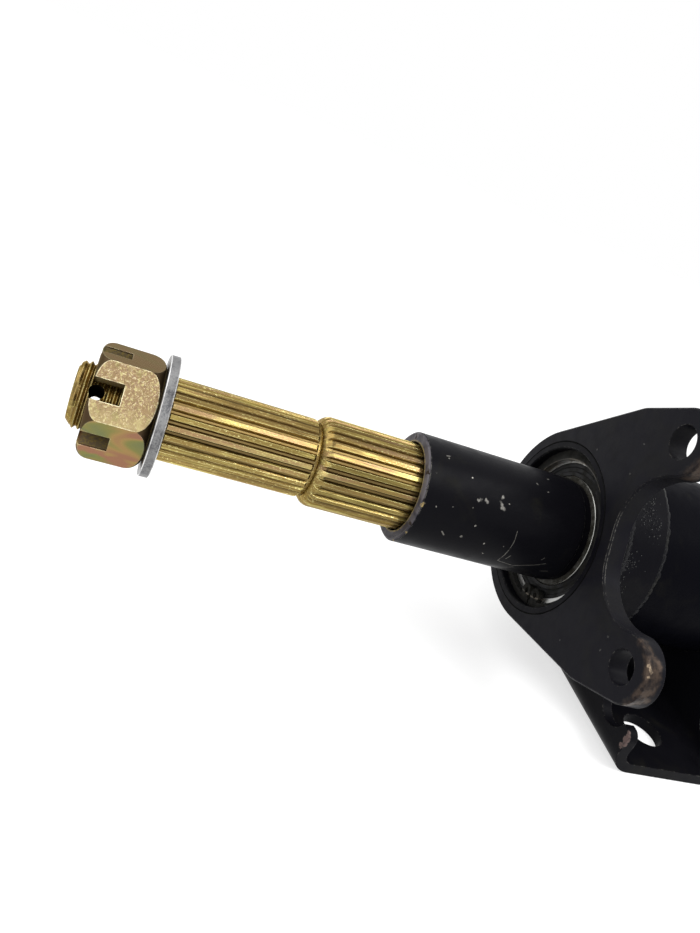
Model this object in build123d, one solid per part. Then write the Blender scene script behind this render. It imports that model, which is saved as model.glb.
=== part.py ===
"""Rear axle of a small all-terrain vehicle, with the bearing carrier that it turns in.

The axle lies along Y and +Z is up. The origin is on the underside of the two mounting feet, at the
centre of their four bolt holes. The brake side, which has the caliper plate, is at -Y, and the ears of
that plate point to +X. Sizes are in millimetres and angles in degrees, from +X towards +Z.
"""

import os
from math import acos, atan2, cos, degrees, hypot, pi, radians, sin, sqrt, tan

from build123d import *

# Overall sizes
AXLE_LENGTH = 620.0
CARRIER_LENGTH = 235.0
AXLE_HEIGHT = 60.0

# Axle shaft, from its threaded tip inwards
THREAD_ROOT_RADIUS = 10.9
THREAD_LENGTH = 31.3
TIP_CHAMFER = 1.6
COTTER_HOLE_DIAMETER = 5.0
COTTER_HOLE_FROM_TIP = 7.6
COTTER_HOLE_ANGLE = 35.0
SMALL_SPLINE_LENGTH = 54.5
SMALL_SPLINE_TEETH = 25
LARGE_SPLINE_LENGTH = 39.6
LARGE_SPLINE_TEETH = 29
LARGE_SPLINE_UNDER_SLEEVE = 6.0
TOOTH_DEPTH = 1.2
TOOTH_CREST_SHARE = 0.42
TOOTH_FLANK_ANGLE = 25.0
SPLINE_RELIEF = 0.18
SPLINE_BEVEL = 0.9
CUTTER_RUN_OUT = 4.5
NECK_LENGTH = 1.0
NECK_DEPTH = 0.2
STEP_FOOT = 0.6
STEP_LENGTH = 4.2
JOURNAL_DIAMETER = 35.0
JOURNAL_PAST_BEARING = 6.0
JOURNAL_HEIGHT = 0.5

# Castle nut, washer and the sleeve between the bearing and the hub
NUT_ACROSS_FLATS = 36.0
NUT_HEIGHT = 22.2
NUT_SLOT_WIDTH = 7.4
NUT_SLOT_DEPTH = 10.0
NUT_TIP_BEVEL = 0.9
NUT_TIP_DOME = 4.6
NUT_SEAT_BEVEL = 1.6
NUT_SEAT_DOME = 6.0
NUT_THREAD_CLEARANCE = 0.05
WASHER_DIAMETER = 44.0
WASHER_CLEARANCE = 1.6
WASHER_THICKNESS = 3.5
WASHER_BEVEL = 0.3
SLEEVE_WALL = 4.0
SLEEVE_CLEARANCE = 0.5
SLEEVE_CHAMFER = 0.8
SLEEVE_NECK_LENGTH = 2.8
SLEEVE_NECK_DEPTH = 0.7
SLEEVE_FROM_LUGS = 1.0
INNER_SPACER_WALL = 3.5

# Ball bearings, 35 by 68 by 17, sealed on both sides
BEARING_DIAMETER = 68.0
BEARING_WIDTH = 17.0
RING_LAND_FROM_PITCH = 2.3
INNER_RING_BEVEL = 0.4
OUTER_RING_BEVEL = 0.8
BALL_DIAMETER = 9.5
BALL_COUNT = 10
BALL_GAP = 0.15
SEAT_CLEARANCE = 0.02
CAGE_WALL = 4.0
CAGE_POCKET_GAP = 0.3
CAGE_BACK = 6.7
CAGE_FRONT = 3.4
SEAL_THICKNESS = 1.1
SEAL_INSET = 0.3
SEAL_DISH = 0.5
SEAL_RIM = 1.5
SEAL_LIP_GAP = 0.3
SEAL_SEAT_DEPTH = 1.2

# Bearing mouth, and the circlip that holds the bearing in
BEARING_RECESS = 6.4
MOUTH_CHAMFER = 0.5
CIRCLIP_THICKNESS = 2.5
CIRCLIP_SIDE_CLEARANCE = 0.05
CIRCLIP_GROOVE_DEPTH = 1.5
CIRCLIP_TOP_CLEARANCE = 0.1
CIRCLIP_THICK_WIDTH = 5.4
CIRCLIP_THIN_WIDTH = 3.6
LUG_RADIUS = 3.0
LUG_CIRCLE_INSET = 6.3
LUG_HALF_ANGLE = 6.9
LUG_NECK_WIDTH = 5.0
LUG_HOLE_DIAMETER = 2.5
CIRCLIP_GAP = 1.0
CIRCLIP_GAP_ANGLE = -71.0

# Carrier tube, its two end collars and their weld beads
COLLAR_WALL = 7.0
COLLAR_STEP = 4.0
COLLAR_SHOULDER = 4.0
COLLAR_CHAMFER = 1.0
SPIGOT_WALL = 2.9
SPIGOT_BEVEL = 0.3
TUBE_WALL = 6.0
TUBE_BEAD_LENGTH = 3.4
TUBE_BEAD_CREST = 2.4

# Caliper plate, drawn with its ears towards +X and then tilted about the axle
PLATE_THICKNESS = 8.0
PLATE_TILT = 25.5
PLATE_PAST_COLLAR = 1.0
PLATE_HALF_WIDTH = 51.6
PLATE_SHOULDER_X = 41.5
PLATE_SHOULDER_RADIUS = 14.0
PLATE_EDGE_BEVEL = 0.6
EAR_X = 65.2
EAR_Y = 39.3
EAR_HOLE_DIAMETER = 12.5
FORK_PAST_HUB = 1.2
PLATE_BEAD_HEIGHT = 2.2
PLATE_BEAD_LENGTH = 3.5
PLATE_BEAD_CREST = 1.7
PLATE_BEAD_ARC = 128.0

# Mounting feet, each bent from sheet into a channel with a web at either side
SHEET = 4.5
FOOT_WIDTH = 138.0
FOOT_LENGTH = 55.0
FOOT_BEND_RADIUS = 5.0
FOOT_HOLE_DIAMETER = 17.0
FOOT_HOLE_SPACING = 96.6
FOOT_FROM_BEAD = 0.2
LIP_HEIGHT = 18.6
LIP_CORNER_RADIUS = 4.0
NOTCH_X = 55.3
NOTCH_HEIGHT = 20.2
NOTCH_RADIUS = 8.2
WEB_TOP_WIDTH = 7.6
WEB_TOP_HEIGHT = 44.0
SADDLE_BEAD_LEG = 3.4
SADDLE_BEAD_ARC = 124.0

# Places along the axle, all on the brake side
TIP = -AXLE_LENGTH / 2
SHOULDER = TIP + THREAD_LENGTH
STEP = SHOULDER + SMALL_SPLINE_LENGTH
WASHER_FACE = SHOULDER - WASHER_THICKNESS
NUT_TIP = WASHER_FACE - NUT_HEIGHT
MOUTH = -CARRIER_LENGTH / 2
PLATE_BACK = MOUTH + PLATE_THICKNESS
BEARING_FACE = MOUTH + BEARING_RECESS
BEARING_BACK = BEARING_FACE + BEARING_WIDTH
BEARING_MIDDLE = BEARING_FACE + BEARING_WIDTH / 2
GROOVE_FACE = BEARING_FACE - CIRCLIP_THICKNESS - CIRCLIP_SIDE_CLEARANCE
COLLAR_BACK = BEARING_BACK + COLLAR_SHOULDER
SLEEVE_MOUTH = STEP + LARGE_SPLINE_LENGTH
LARGE_SPLINE_END = SLEEVE_MOUTH + LARGE_SPLINE_UNDER_SLEEVE
FOOT_FACE = COLLAR_BACK + TUBE_BEAD_LENGTH + FOOT_FROM_BEAD
FOOT_MIDDLE = FOOT_FACE + FOOT_LENGTH / 2

# Radii that several pieces share
JOURNAL_RADIUS = JOURNAL_DIAMETER / 2
LARGE_SPLINE_RADIUS = JOURNAL_RADIUS - SPLINE_RELIEF
SMALL_SPLINE_RADIUS = LARGE_SPLINE_RADIUS * (SMALL_SPLINE_TEETH + 1) / (LARGE_SPLINE_TEETH + 1)
SLEEVE_BORE_RADIUS = JOURNAL_RADIUS + SLEEVE_CLEARANCE
PITCH_RADIUS = (JOURNAL_DIAMETER + BEARING_DIAMETER) / 4
INNER_RING_RADIUS = PITCH_RADIUS - RING_LAND_FROM_PITCH
OUTER_LAND_RADIUS = PITCH_RADIUS + RING_LAND_FROM_PITCH
RACE_GROOVE_RADIUS = BALL_DIAMETER / 2 + BALL_GAP
SEAL_RADIUS = OUTER_LAND_RADIUS + SEAL_SEAT_DEPTH
SEAT_RADIUS = BEARING_DIAMETER / 2 + SEAT_CLEARANCE
GROOVE_RADIUS = SEAT_RADIUS + CIRCLIP_GROOVE_DEPTH
LUG_CIRCLE_RADIUS = GROOVE_RADIUS - LUG_CIRCLE_INSET
SLEEVE_RADIUS = SLEEVE_BORE_RADIUS + SLEEVE_WALL
SLEEVE_NECK_RADIUS = min(SLEEVE_RADIUS - SLEEVE_NECK_DEPTH, LUG_CIRCLE_RADIUS - LUG_RADIUS - SLEEVE_FROM_LUGS)
SPIGOT_RADIUS = SEAT_RADIUS + SPIGOT_WALL
COLLAR_RADIUS = BEARING_DIAMETER / 2 + COLLAR_WALL
TUBE_RADIUS = COLLAR_RADIUS - COLLAR_STEP
TUBE_BORE_RADIUS = TUBE_RADIUS - TUBE_WALL
PLATE_HUB_RADIUS = COLLAR_RADIUS + PLATE_PAST_COLLAR

AXLE_LINE = Axis((0, 0, AXLE_HEIGHT), (0, 1, 0))
LENGTHWISE = Plane(origin=(0, 0, AXLE_HEIGHT), x_dir=(0, 1, 0), z_dir=(1, 0, 0))


def turned(*outline):
    """Turn a closed outline, drawn as place along the axle and radius, about the axle."""
    edges = [edge for line in outline for edge in line.edges()]
    return revolve(LENGTHWISE * make_face(edges), AXLE_LINE)


def turned_corners(*points):
    """Turn an outline of straight lines about the axle."""
    return turned(Polyline(*points, close=True))


def turned_arc(points, arc, middle):
    """Turn an outline of straight lines over part of a circle, centred on an angle."""
    solid = revolve(LENGTHWISE * make_face(Polyline(*points, close=True)), AXLE_LINE, arc)
    return solid.rotate(AXLE_LINE, 90 - arc / 2 - middle)


def ring(start, end, inner, outer, bevel=0.0):
    """A turned ring, with its two outer edges bevelled where a bevel is given."""
    solid = turned_corners((start, inner), (start, outer), (end, outer), (end, inner))
    if bevel:
        rims = solid.edges().filter_by(GeomType.CIRCLE).group_by(SortBy.RADIUS)[-1]
        solid = chamfer(rims, bevel)
    return solid


def across(face, start, length):
    """A flat outline across the axle, in X and height above it, made solid from start towards +Y."""
    plane = Plane(origin=(0, start + length, AXLE_HEIGHT), x_dir=(1, 0, 0), z_dir=(0, -1, 0))
    return extrude(plane * face, amount=length)


def on_axle(place, shape):
    """Move a shape from the origin to a place on the axle."""
    return Pos(0, place, AXLE_HEIGHT) * shape


def other_end(piece):
    """The same piece at the drive end of the axle."""
    return mirror(piece, about=Plane.XZ)


def both_ends(piece):
    """The piece at both ends, as separate solids of one node."""
    return Compound(piece.solids() + other_end(piece).solids())


def flats(count, distance, over_teeth=False):
    """A polygon with a side under each groove of a spline, or over each of its teeth."""
    turn = 180 / count if over_teeth else 0
    return RegularPolygon(distance, count, major_radius=False, rotation=turn)


def toothed_bar(count, radius, start, end):
    """A bar with straight spline teeth all round."""
    root = radius - TOOTH_DEPTH
    half_crest = TOOTH_CREST_SHARE * pi * radius / count
    half_foot = half_crest + tan(radians(TOOTH_FLANK_ANGLE)) * 2 * TOOTH_DEPTH
    tooth = make_face(
        Polyline(
            (root - TOOTH_DEPTH, -half_foot),
            (radius, -half_crest),
            (radius, half_crest),
            (root - TOOTH_DEPTH, half_foot),
            close=True,
        )
    )
    return across(flats(count, root) + PolarLocations(0, count) * tooth, start, end - start)


def small_spline():
    """The hub's spline, with both ends of its teeth bevelled."""
    end = STEP - NECK_LENGTH
    crest = flats(SMALL_SPLINE_TEETH, SMALL_SPLINE_RADIUS, over_teeth=True)
    front = Plane(origin=(0, SHOULDER + SPLINE_BEVEL, AXLE_HEIGHT), x_dir=(1, 0, 0), z_dir=(0, -1, 0))
    back = Plane(origin=(0, end - SPLINE_BEVEL, AXLE_HEIGHT), x_dir=(1, 0, 0), z_dir=(0, 1, 0))
    blank = across(crest, SHOULDER + SPLINE_BEVEL, end - SHOULDER - 2 * SPLINE_BEVEL)
    blank += extrude(front * crest, amount=SPLINE_BEVEL, taper=45)
    blank += extrude(back * mirror(crest, about=Plane.YZ), amount=SPLINE_BEVEL, taper=45)
    return toothed_bar(SMALL_SPLINE_TEETH, SMALL_SPLINE_RADIUS, SHOULDER, end) & blank


def large_spline():
    """The disc's spline: its grooves open through the rounded step and rise to their end."""
    root = LARGE_SPLINE_RADIUS - TOOTH_DEPTH
    past_teeth = LARGE_SPLINE_RADIUS + TOOTH_DEPTH
    crest = (STEP + STEP_LENGTH, LARGE_SPLINE_RADIUS)
    foot = (STEP, SMALL_SPLINE_RADIUS - STEP_FOOT)
    blank = turned(
        TangentArc(crest, foot, tangent=(-1, 0)),
        Polyline(foot, (STEP, 0), (LARGE_SPLINE_END, 0), (LARGE_SPLINE_END, past_teeth)),
        Polyline((LARGE_SPLINE_END, past_teeth), (STEP + STEP_LENGTH, past_teeth), crest),
    )
    run_out = Plane(origin=(0, LARGE_SPLINE_END - CUTTER_RUN_OUT, AXLE_HEIGHT), x_dir=(1, 0, 0), z_dir=(0, 1, 0))
    rise = degrees(atan2(TOOTH_DEPTH, CUTTER_RUN_OUT))
    ramp = extrude(run_out * flats(LARGE_SPLINE_TEETH, root), amount=CUTTER_RUN_OUT, taper=-rise)
    return (toothed_bar(LARGE_SPLINE_TEETH, LARGE_SPLINE_RADIUS, STEP, LARGE_SPLINE_END) & blank) + ramp


def axle_shaft():
    """The shaft: thread, hub spline, step, disc spline and bearing journal at either end."""
    neck = SMALL_SPLINE_RADIUS - TOOTH_DEPTH - NECK_DEPTH
    journal_end = BEARING_BACK + JOURNAL_PAST_BEARING
    middle = JOURNAL_RADIUS - JOURNAL_HEIGHT
    core = turned_corners(
        (0, 0),
        (TIP, 0),
        (TIP, THREAD_ROOT_RADIUS - TIP_CHAMFER),
        (TIP + TIP_CHAMFER, THREAD_ROOT_RADIUS),
        (SHOULDER, THREAD_ROOT_RADIUS),
        (SHOULDER, neck),
        (LARGE_SPLINE_END, neck),
        (LARGE_SPLINE_END, JOURNAL_RADIUS),
        (journal_end, JOURNAL_RADIUS),
        (journal_end + JOURNAL_HEIGHT, middle),
        (0, middle),
    )
    hole = Rot(0, 90 - COTTER_HOLE_ANGLE, 0) * Cylinder(COTTER_HOLE_DIAMETER / 2, 3 * THREAD_ROOT_RADIUS)
    half = core + small_spline() + large_spline()
    half -= on_axle(TIP + COTTER_HOLE_FROM_TIP, hole)
    return half + other_end(half)


def castle_nut():
    """A hexagon nut with domed ends and a slot through the middle of each flat."""
    corner = NUT_ACROSS_FLATS / sqrt(3)
    hexagon = RegularPolygon(NUT_ACROSS_FLATS / 2, 6, major_radius=False, rotation=COTTER_HOLE_ANGLE - 30)
    tip_rim = (NUT_TIP, NUT_ACROSS_FLATS / 2 - NUT_TIP_BEVEL)
    seat_rim = (WASHER_FACE, NUT_ACROSS_FLATS / 2 - NUT_SEAT_BEVEL)
    tip_crest = (NUT_TIP + NUT_TIP_DOME, corner)
    seat_crest = (WASHER_FACE - NUT_SEAT_DOME, corner)
    dome = turned(
        TangentArc(tip_crest, tip_rim, tangent=(-1, 0)),
        Polyline(tip_rim, (NUT_TIP, 0), (WASHER_FACE, 0), seat_rim),
        TangentArc(seat_crest, seat_rim, tangent=(1, 0)),
        Line(seat_crest, tip_crest),
    )
    nut = across(hexagon, NUT_TIP, NUT_HEIGHT) & dome
    nut -= ring(NUT_TIP, WASHER_FACE, 0, THREAD_ROOT_RADIUS + NUT_THREAD_CLEARANCE)
    slot = Box(2 * NUT_ACROSS_FLATS, NUT_SLOT_DEPTH, NUT_SLOT_WIDTH)
    for turn in range(3):
        angle = COTTER_HOLE_ANGLE + 60 * turn
        nut -= on_axle(NUT_TIP + NUT_SLOT_DEPTH / 2, Rot(0, -angle, 0) * slot)
    return nut


def hub_washer():
    """The washer under the castle nut."""
    bore = THREAD_ROOT_RADIUS + WASHER_CLEARANCE
    return ring(WASHER_FACE, SHOULDER, bore, WASHER_DIAMETER / 2, WASHER_BEVEL)


def spacer_sleeve():
    """The sleeve over the shaft, from the inner ring to the disc's hub, with a neck that clears the lugs."""
    neck_start = BEARING_FACE - SLEEVE_NECK_LENGTH
    neck_slope_start = neck_start - (SLEEVE_RADIUS - SLEEVE_NECK_RADIUS)
    return turned_corners(
        (SLEEVE_MOUTH, SLEEVE_BORE_RADIUS),
        (SLEEVE_MOUTH, SLEEVE_RADIUS - SLEEVE_CHAMFER),
        (SLEEVE_MOUTH + SLEEVE_CHAMFER, SLEEVE_RADIUS),
        (neck_slope_start, SLEEVE_RADIUS),
        (neck_start, SLEEVE_NECK_RADIUS),
        (BEARING_FACE, SLEEVE_NECK_RADIUS),
        (BEARING_FACE, SLEEVE_BORE_RADIUS),
    )


def bearing_spacer_tube():
    """The tube that keeps the two inner rings apart, inside the carrier."""
    return ring(BEARING_BACK, -BEARING_BACK, SLEEVE_BORE_RADIUS, SLEEVE_BORE_RADIUS + INNER_SPACER_WALL)


def race_groove():
    """The ring of space that the balls run in."""
    return on_axle(BEARING_MIDDLE, Rot(90, 0, 0) * Torus(PITCH_RADIUS, RACE_GROOVE_RADIUS))


def inner_ring():
    """A bearing's inner ring, on the shaft's journal."""
    bore = JOURNAL_RADIUS + SEAT_CLEARANCE
    return ring(BEARING_FACE, BEARING_BACK, bore, INNER_RING_RADIUS, INNER_RING_BEVEL) - race_groove()


def outer_ring():
    """A bearing's outer ring, with the seats of its two seals."""
    seat = SEAL_INSET + SEAL_THICKNESS
    solid = ring(BEARING_FACE, BEARING_BACK, OUTER_LAND_RADIUS, BEARING_DIAMETER / 2, OUTER_RING_BEVEL)
    solid -= race_groove()
    solid -= ring(BEARING_FACE, BEARING_FACE + seat, 0, SEAL_RADIUS)
    return solid - ring(BEARING_BACK - seat, BEARING_BACK, 0, SEAL_RADIUS)


def at_each_ball(shape):
    """The shape at the place of every ball, with its own height pointing away from the axle."""
    spots = [Rot(0, 360 * number / BALL_COUNT, 0) * Pos(0, 0, PITCH_RADIUS) for number in range(BALL_COUNT)]
    return [on_axle(BEARING_MIDDLE, spot * shape) for spot in spots]


def bearing_balls():
    """The balls of one bearing."""
    return Compound([ball.solid() for ball in at_each_ball(Sphere(BALL_DIAMETER / 2))])


def ball_cage():
    """The crown that keeps the balls evenly apart, with its back to the outer seal."""
    inner = PITCH_RADIUS - CAGE_WALL / 2
    cage = ring(BEARING_MIDDLE - CAGE_BACK, BEARING_MIDDLE + CAGE_FRONT, inner, inner + CAGE_WALL)
    bore = Cylinder(BALL_DIAMETER / 2 + CAGE_POCKET_GAP, 2 * CAGE_WALL)
    for pocket in at_each_ball(bore):
        cage -= pocket
    return cage


def bearing_seal(face, inward):
    """A dished rubber seal, set into the outer ring's face."""
    lip = INNER_RING_RADIUS + SEAL_LIP_GAP
    front = face + inward * SEAL_INSET
    dish = front + inward * SEAL_DISH
    back = front + inward * SEAL_THICKNESS
    return turned_corners(
        (back, lip),
        (front, lip),
        (front, lip + SEAL_RIM),
        (dish, lip + SEAL_RIM + SEAL_DISH),
        (dish, SEAL_RADIUS - SEAL_RIM - SEAL_DISH),
        (front, SEAL_RADIUS - SEAL_RIM),
        (front, SEAL_RADIUS),
        (back, SEAL_RADIUS),
    )


def circlip():
    """The internal circlip: widest opposite its gap, with a lug and a plier hole at each end."""
    outer = GROOVE_RADIUS - CIRCLIP_TOP_CLEARANCE
    inner = outer - (CIRCLIP_THICK_WIDTH + CIRCLIP_THIN_WIDTH) / 2
    offset = (CIRCLIP_THICK_WIDTH - CIRCLIP_THIN_WIDTH) / 2
    neck = outer - CIRCLIP_THIN_WIDTH / 2 - LUG_CIRCLE_RADIUS
    outline = Circle(outer) - Pos(offset, 0) * Circle(inner)
    for side in (-LUG_HALF_ANGLE, LUG_HALF_ANGLE):
        lug = Pos(LUG_CIRCLE_RADIUS, 0) * Circle(LUG_RADIUS)
        lug += Pos(LUG_CIRCLE_RADIUS + neck / 2, 0) * Rectangle(neck, LUG_NECK_WIDTH)
        outline += Rot(0, 0, side) * lug
    outline -= Pos(outer, 0) * Rectangle(outer, CIRCLIP_GAP)
    for side in (-LUG_HALF_ANGLE, LUG_HALF_ANGLE):
        outline -= Rot(0, 0, side) * Pos(LUG_CIRCLE_RADIUS, 0) * Circle(LUG_HOLE_DIAMETER / 2)
    return across(Rot(0, 0, CIRCLIP_GAP_ANGLE) * outline, BEARING_FACE - CIRCLIP_THICKNESS, CIRCLIP_THICKNESS)


def mouth_bore():
    """What is cut away for a bearing's mouth, its circlip groove and its seat."""
    return turned_corners(
        (MOUTH, 0),
        (MOUTH, SEAT_RADIUS + MOUTH_CHAMFER),
        (MOUTH + MOUTH_CHAMFER, SEAT_RADIUS),
        (GROOVE_FACE, SEAT_RADIUS),
        (GROOVE_FACE, GROOVE_RADIUS),
        (BEARING_FACE, GROOVE_RADIUS),
        (BEARING_FACE, SEAT_RADIUS),
        (BEARING_BACK, SEAT_RADIUS),
        (BEARING_BACK, 0),
    )


def caliper_plate():
    """The flat plate with two ears for the brake caliper and a fork between them."""
    ear_radius = PLATE_HALF_WIDTH - EAR_Y
    fork_x = PLATE_HUB_RADIUS + FORK_PAST_HUB
    fork_corner_y = EAR_Y - ear_radius - (EAR_X - fork_x)
    shoulder = (PLATE_SHOULDER_X, PLATE_HALF_WIDTH)
    touch_angle = atan2(PLATE_HALF_WIDTH, PLATE_SHOULDER_X) + acos(PLATE_HUB_RADIUS / hypot(*shoulder))
    touch = (PLATE_HUB_RADIUS * cos(touch_angle), PLATE_HUB_RADIUS * sin(touch_angle))
    half = make_face(
        TangentArc((-PLATE_HUB_RADIUS, 0), touch, tangent=(0, 1)).edges()
        + FilletPolyline(touch, shoulder, (EAR_X, PLATE_HALF_WIDTH), radius=PLATE_SHOULDER_RADIUS).edges()
        + TangentArc((EAR_X, PLATE_HALF_WIDTH), (EAR_X, EAR_Y - ear_radius), tangent=(1, 0)).edges()
        + TangentArc((EAR_X, EAR_Y - ear_radius), (fork_x, fork_corner_y), tangent=(-1, 0)).edges()
        + Polyline((fork_x, fork_corner_y), (fork_x, 0), (-PLATE_HUB_RADIUS, 0)).edges()
    )
    outline = Rot(0, 0, PLATE_TILT) * (half + mirror(half, about=Plane.XZ))
    plate = across(outline, MOUTH, PLATE_THICKNESS)
    sides = plate.faces().sort_by(Axis.Y)
    plate = chamfer(sides[0].edges() + sides[-1].edges(), PLATE_EDGE_BEVEL)
    holes = [Rot(0, 0, PLATE_TILT) * Pos(EAR_X, y) * Circle(EAR_HOLE_DIAMETER / 2) for y in (-EAR_Y, EAR_Y)]
    for hole in holes:
        plate -= across(hole, MOUTH, PLATE_THICKNESS)
    seat = SPIGOT_RADIUS + SEAT_CLEARANCE
    bore = turned_corners(
        (MOUTH, 0),
        (MOUTH, seat + SPIGOT_BEVEL),
        (MOUTH + SPIGOT_BEVEL, seat),
        (PLATE_BACK, seat),
        (PLATE_BACK, 0),
    )
    return plate - bore


def caliper_weld_bead():
    """The domed bead between the caliper plate's back and the collar, on the ears' side."""
    points = (
        (PLATE_BACK, COLLAR_RADIUS),
        (PLATE_BACK, COLLAR_RADIUS + PLATE_BEAD_HEIGHT),
        (PLATE_BACK + PLATE_BEAD_CREST, COLLAR_RADIUS + PLATE_BEAD_CREST),
        (PLATE_BACK + PLATE_BEAD_LENGTH, COLLAR_RADIUS),
    )
    return turned_arc(points, PLATE_BEAD_ARC, PLATE_TILT)


def bearing_collar(front):
    """The ring that holds a bearing, from a front face to its shoulder behind the bearing."""
    collar = ring(front, COLLAR_BACK, TUBE_BORE_RADIUS, COLLAR_RADIUS, COLLAR_CHAMFER)
    return collar - mouth_bore()


def brake_collar():
    """The brake end's collar, with the spigot that goes through the caliper plate."""
    spigot = turned_corners(
        (MOUTH, TUBE_BORE_RADIUS),
        (MOUTH, SPIGOT_RADIUS - SPIGOT_BEVEL),
        (MOUTH + SPIGOT_BEVEL, SPIGOT_RADIUS),
        (PLATE_BACK, SPIGOT_RADIUS),
        (PLATE_BACK, TUBE_BORE_RADIUS),
    )
    return bearing_collar(PLATE_BACK) + (spigot - mouth_bore())


def carrier_tube():
    """The tube between the two collars."""
    return ring(COLLAR_BACK, -COLLAR_BACK, TUBE_BORE_RADIUS, TUBE_RADIUS)


def collar_weld_bead():
    """The domed bead between a collar's back and the tube."""
    return turned_corners(
        (COLLAR_BACK, TUBE_RADIUS),
        (COLLAR_BACK, COLLAR_RADIUS - COLLAR_CHAMFER),
        (COLLAR_BACK + TUBE_BEAD_CREST, TUBE_RADIUS + TUBE_BEAD_CREST),
        (COLLAR_BACK + TUBE_BEAD_LENGTH, TUBE_RADIUS),
    )


def channel_section():
    """The bent sheet's section, with its base at the bottom and a web at either side."""
    middle = WEB_TOP_HEIGHT / 2
    outer = Pos(0, middle) * Rectangle(FOOT_LENGTH, WEB_TOP_HEIGHT)
    inner = Pos(0, middle + SHEET) * Rectangle(FOOT_LENGTH - 2 * SHEET, WEB_TOP_HEIGHT)
    outer = fillet(outer.vertices().group_by(Axis.Y)[0], FOOT_BEND_RADIUS + SHEET)
    inner = fillet(inner.vertices().group_by(Axis.Y)[0], FOOT_BEND_RADIUS)
    return outer - inner


def web_outline():
    """A web as seen along the axle: lips at both ends, a notch in each, and the saddle for the tube."""
    web_foot = NOTCH_X - NOTCH_RADIUS
    web_top = sqrt(TUBE_RADIUS**2 - (AXLE_HEIGHT - WEB_TOP_HEIGHT) ** 2) + WEB_TOP_WIDTH
    lips = Pos(0, LIP_HEIGHT / 2) * Rectangle(FOOT_WIDTH, LIP_HEIGHT)
    lips = fillet(lips.vertices().group_by(Axis.Y)[-1], LIP_CORNER_RADIUS)
    saddle = make_face(
        Polyline(
            (-web_foot, 0),
            (web_foot, 0),
            (web_foot, NOTCH_HEIGHT),
            (web_top, WEB_TOP_HEIGHT),
            (-web_top, WEB_TOP_HEIGHT),
            (-web_foot, NOTCH_HEIGHT),
            close=True,
        )
    )
    outline = lips + saddle - Pos(0, AXLE_HEIGHT) * Circle(TUBE_RADIUS)
    for x in (-NOTCH_X, NOTCH_X):
        outline -= Pos(x, NOTCH_HEIGHT) * Circle(NOTCH_RADIUS)
    return outline


def mounting_foot():
    """A foot: the bent channel, cut to the webs' outline and drilled for its two bolts."""
    plane = Plane(origin=(-FOOT_WIDTH / 2, FOOT_MIDDLE, 0), x_dir=(0, 1, 0), z_dir=(1, 0, 0))
    channel = extrude(plane * channel_section(), amount=FOOT_WIDTH)
    foot = channel & across(Pos(0, -AXLE_HEIGHT) * web_outline(), FOOT_FACE, FOOT_LENGTH)
    for x in (-FOOT_HOLE_SPACING / 2, FOOT_HOLE_SPACING / 2):
        foot -= Pos(x, FOOT_MIDDLE, SHEET / 2) * Cylinder(FOOT_HOLE_DIAMETER / 2, 2 * SHEET)
    return foot


def saddle_weld_beads():
    """The beads under the tube, inside the foot's outer web and outside its inner one."""
    beads = []
    for place in (FOOT_FACE + SHEET, FOOT_FACE + FOOT_LENGTH):
        points = (
            (place, TUBE_RADIUS),
            (place, TUBE_RADIUS + SADDLE_BEAD_LEG),
            (place + SADDLE_BEAD_LEG, TUBE_RADIUS),
        )
        beads += turned_arc(points, SADDLE_BEAD_ARC, -90).solids()
    return Compound(beads)


def paired_pieces():
    """The pieces that each end of the axle has, as made for the brake end."""
    return {
        "castle_nut": castle_nut(),
        "hub_washer": hub_washer(),
        "spacer_sleeve": spacer_sleeve(),
        "bearing_inner_ring": inner_ring(),
        "bearing_outer_ring": outer_ring(),
        "bearing_balls": bearing_balls(),
        "ball_cage": ball_cage(),
        "bearing_outer_seal": bearing_seal(BEARING_FACE, 1),
        "bearing_inner_seal": bearing_seal(BEARING_BACK, -1),
        "circlip": circlip(),
        "mounting_foot": mounting_foot(),
    }


def all_pieces():
    """Every node of the assembly by its name."""
    pieces = {
        "axle_shaft": axle_shaft(),
        "bearing_spacer_tube": bearing_spacer_tube(),
        "carrier_tube": carrier_tube(),
        "brake_bearing_collar": brake_collar(),
        "drive_bearing_collar": other_end(bearing_collar(MOUTH)),
        "caliper_plate": caliper_plate(),
        "caliper_weld_bead": caliper_weld_bead(),
        "collar_weld_beads": both_ends(collar_weld_bead()),
        "saddle_weld_beads": both_ends(saddle_weld_beads()),
    }
    for name, piece in paired_pieces().items():
        pieces["brake_" + name] = piece
        pieces["drive_" + name] = other_end(piece)
    return pieces


os.makedirs("parts", exist_ok=True)
for node, shape in all_pieces().items():
    export_step(shape, f"parts/{node}.step")
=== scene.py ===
"""Looks of a small vehicle's rear axle: finishes, threads, weld beads, studio and camera.

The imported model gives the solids. This script dresses each of them in a procedural finish, adds the thread
ridges, the rippled weld beads and the spatter as meshes, and sets the studio. Sizes are in metres.
"""

import logging
import math
import random
from dataclasses import dataclass, field
from enum import Enum
from functools import cached_property
from typing import Any, Callable

import bmesh
import bpy
from mathutils import Matrix, Vector

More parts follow.
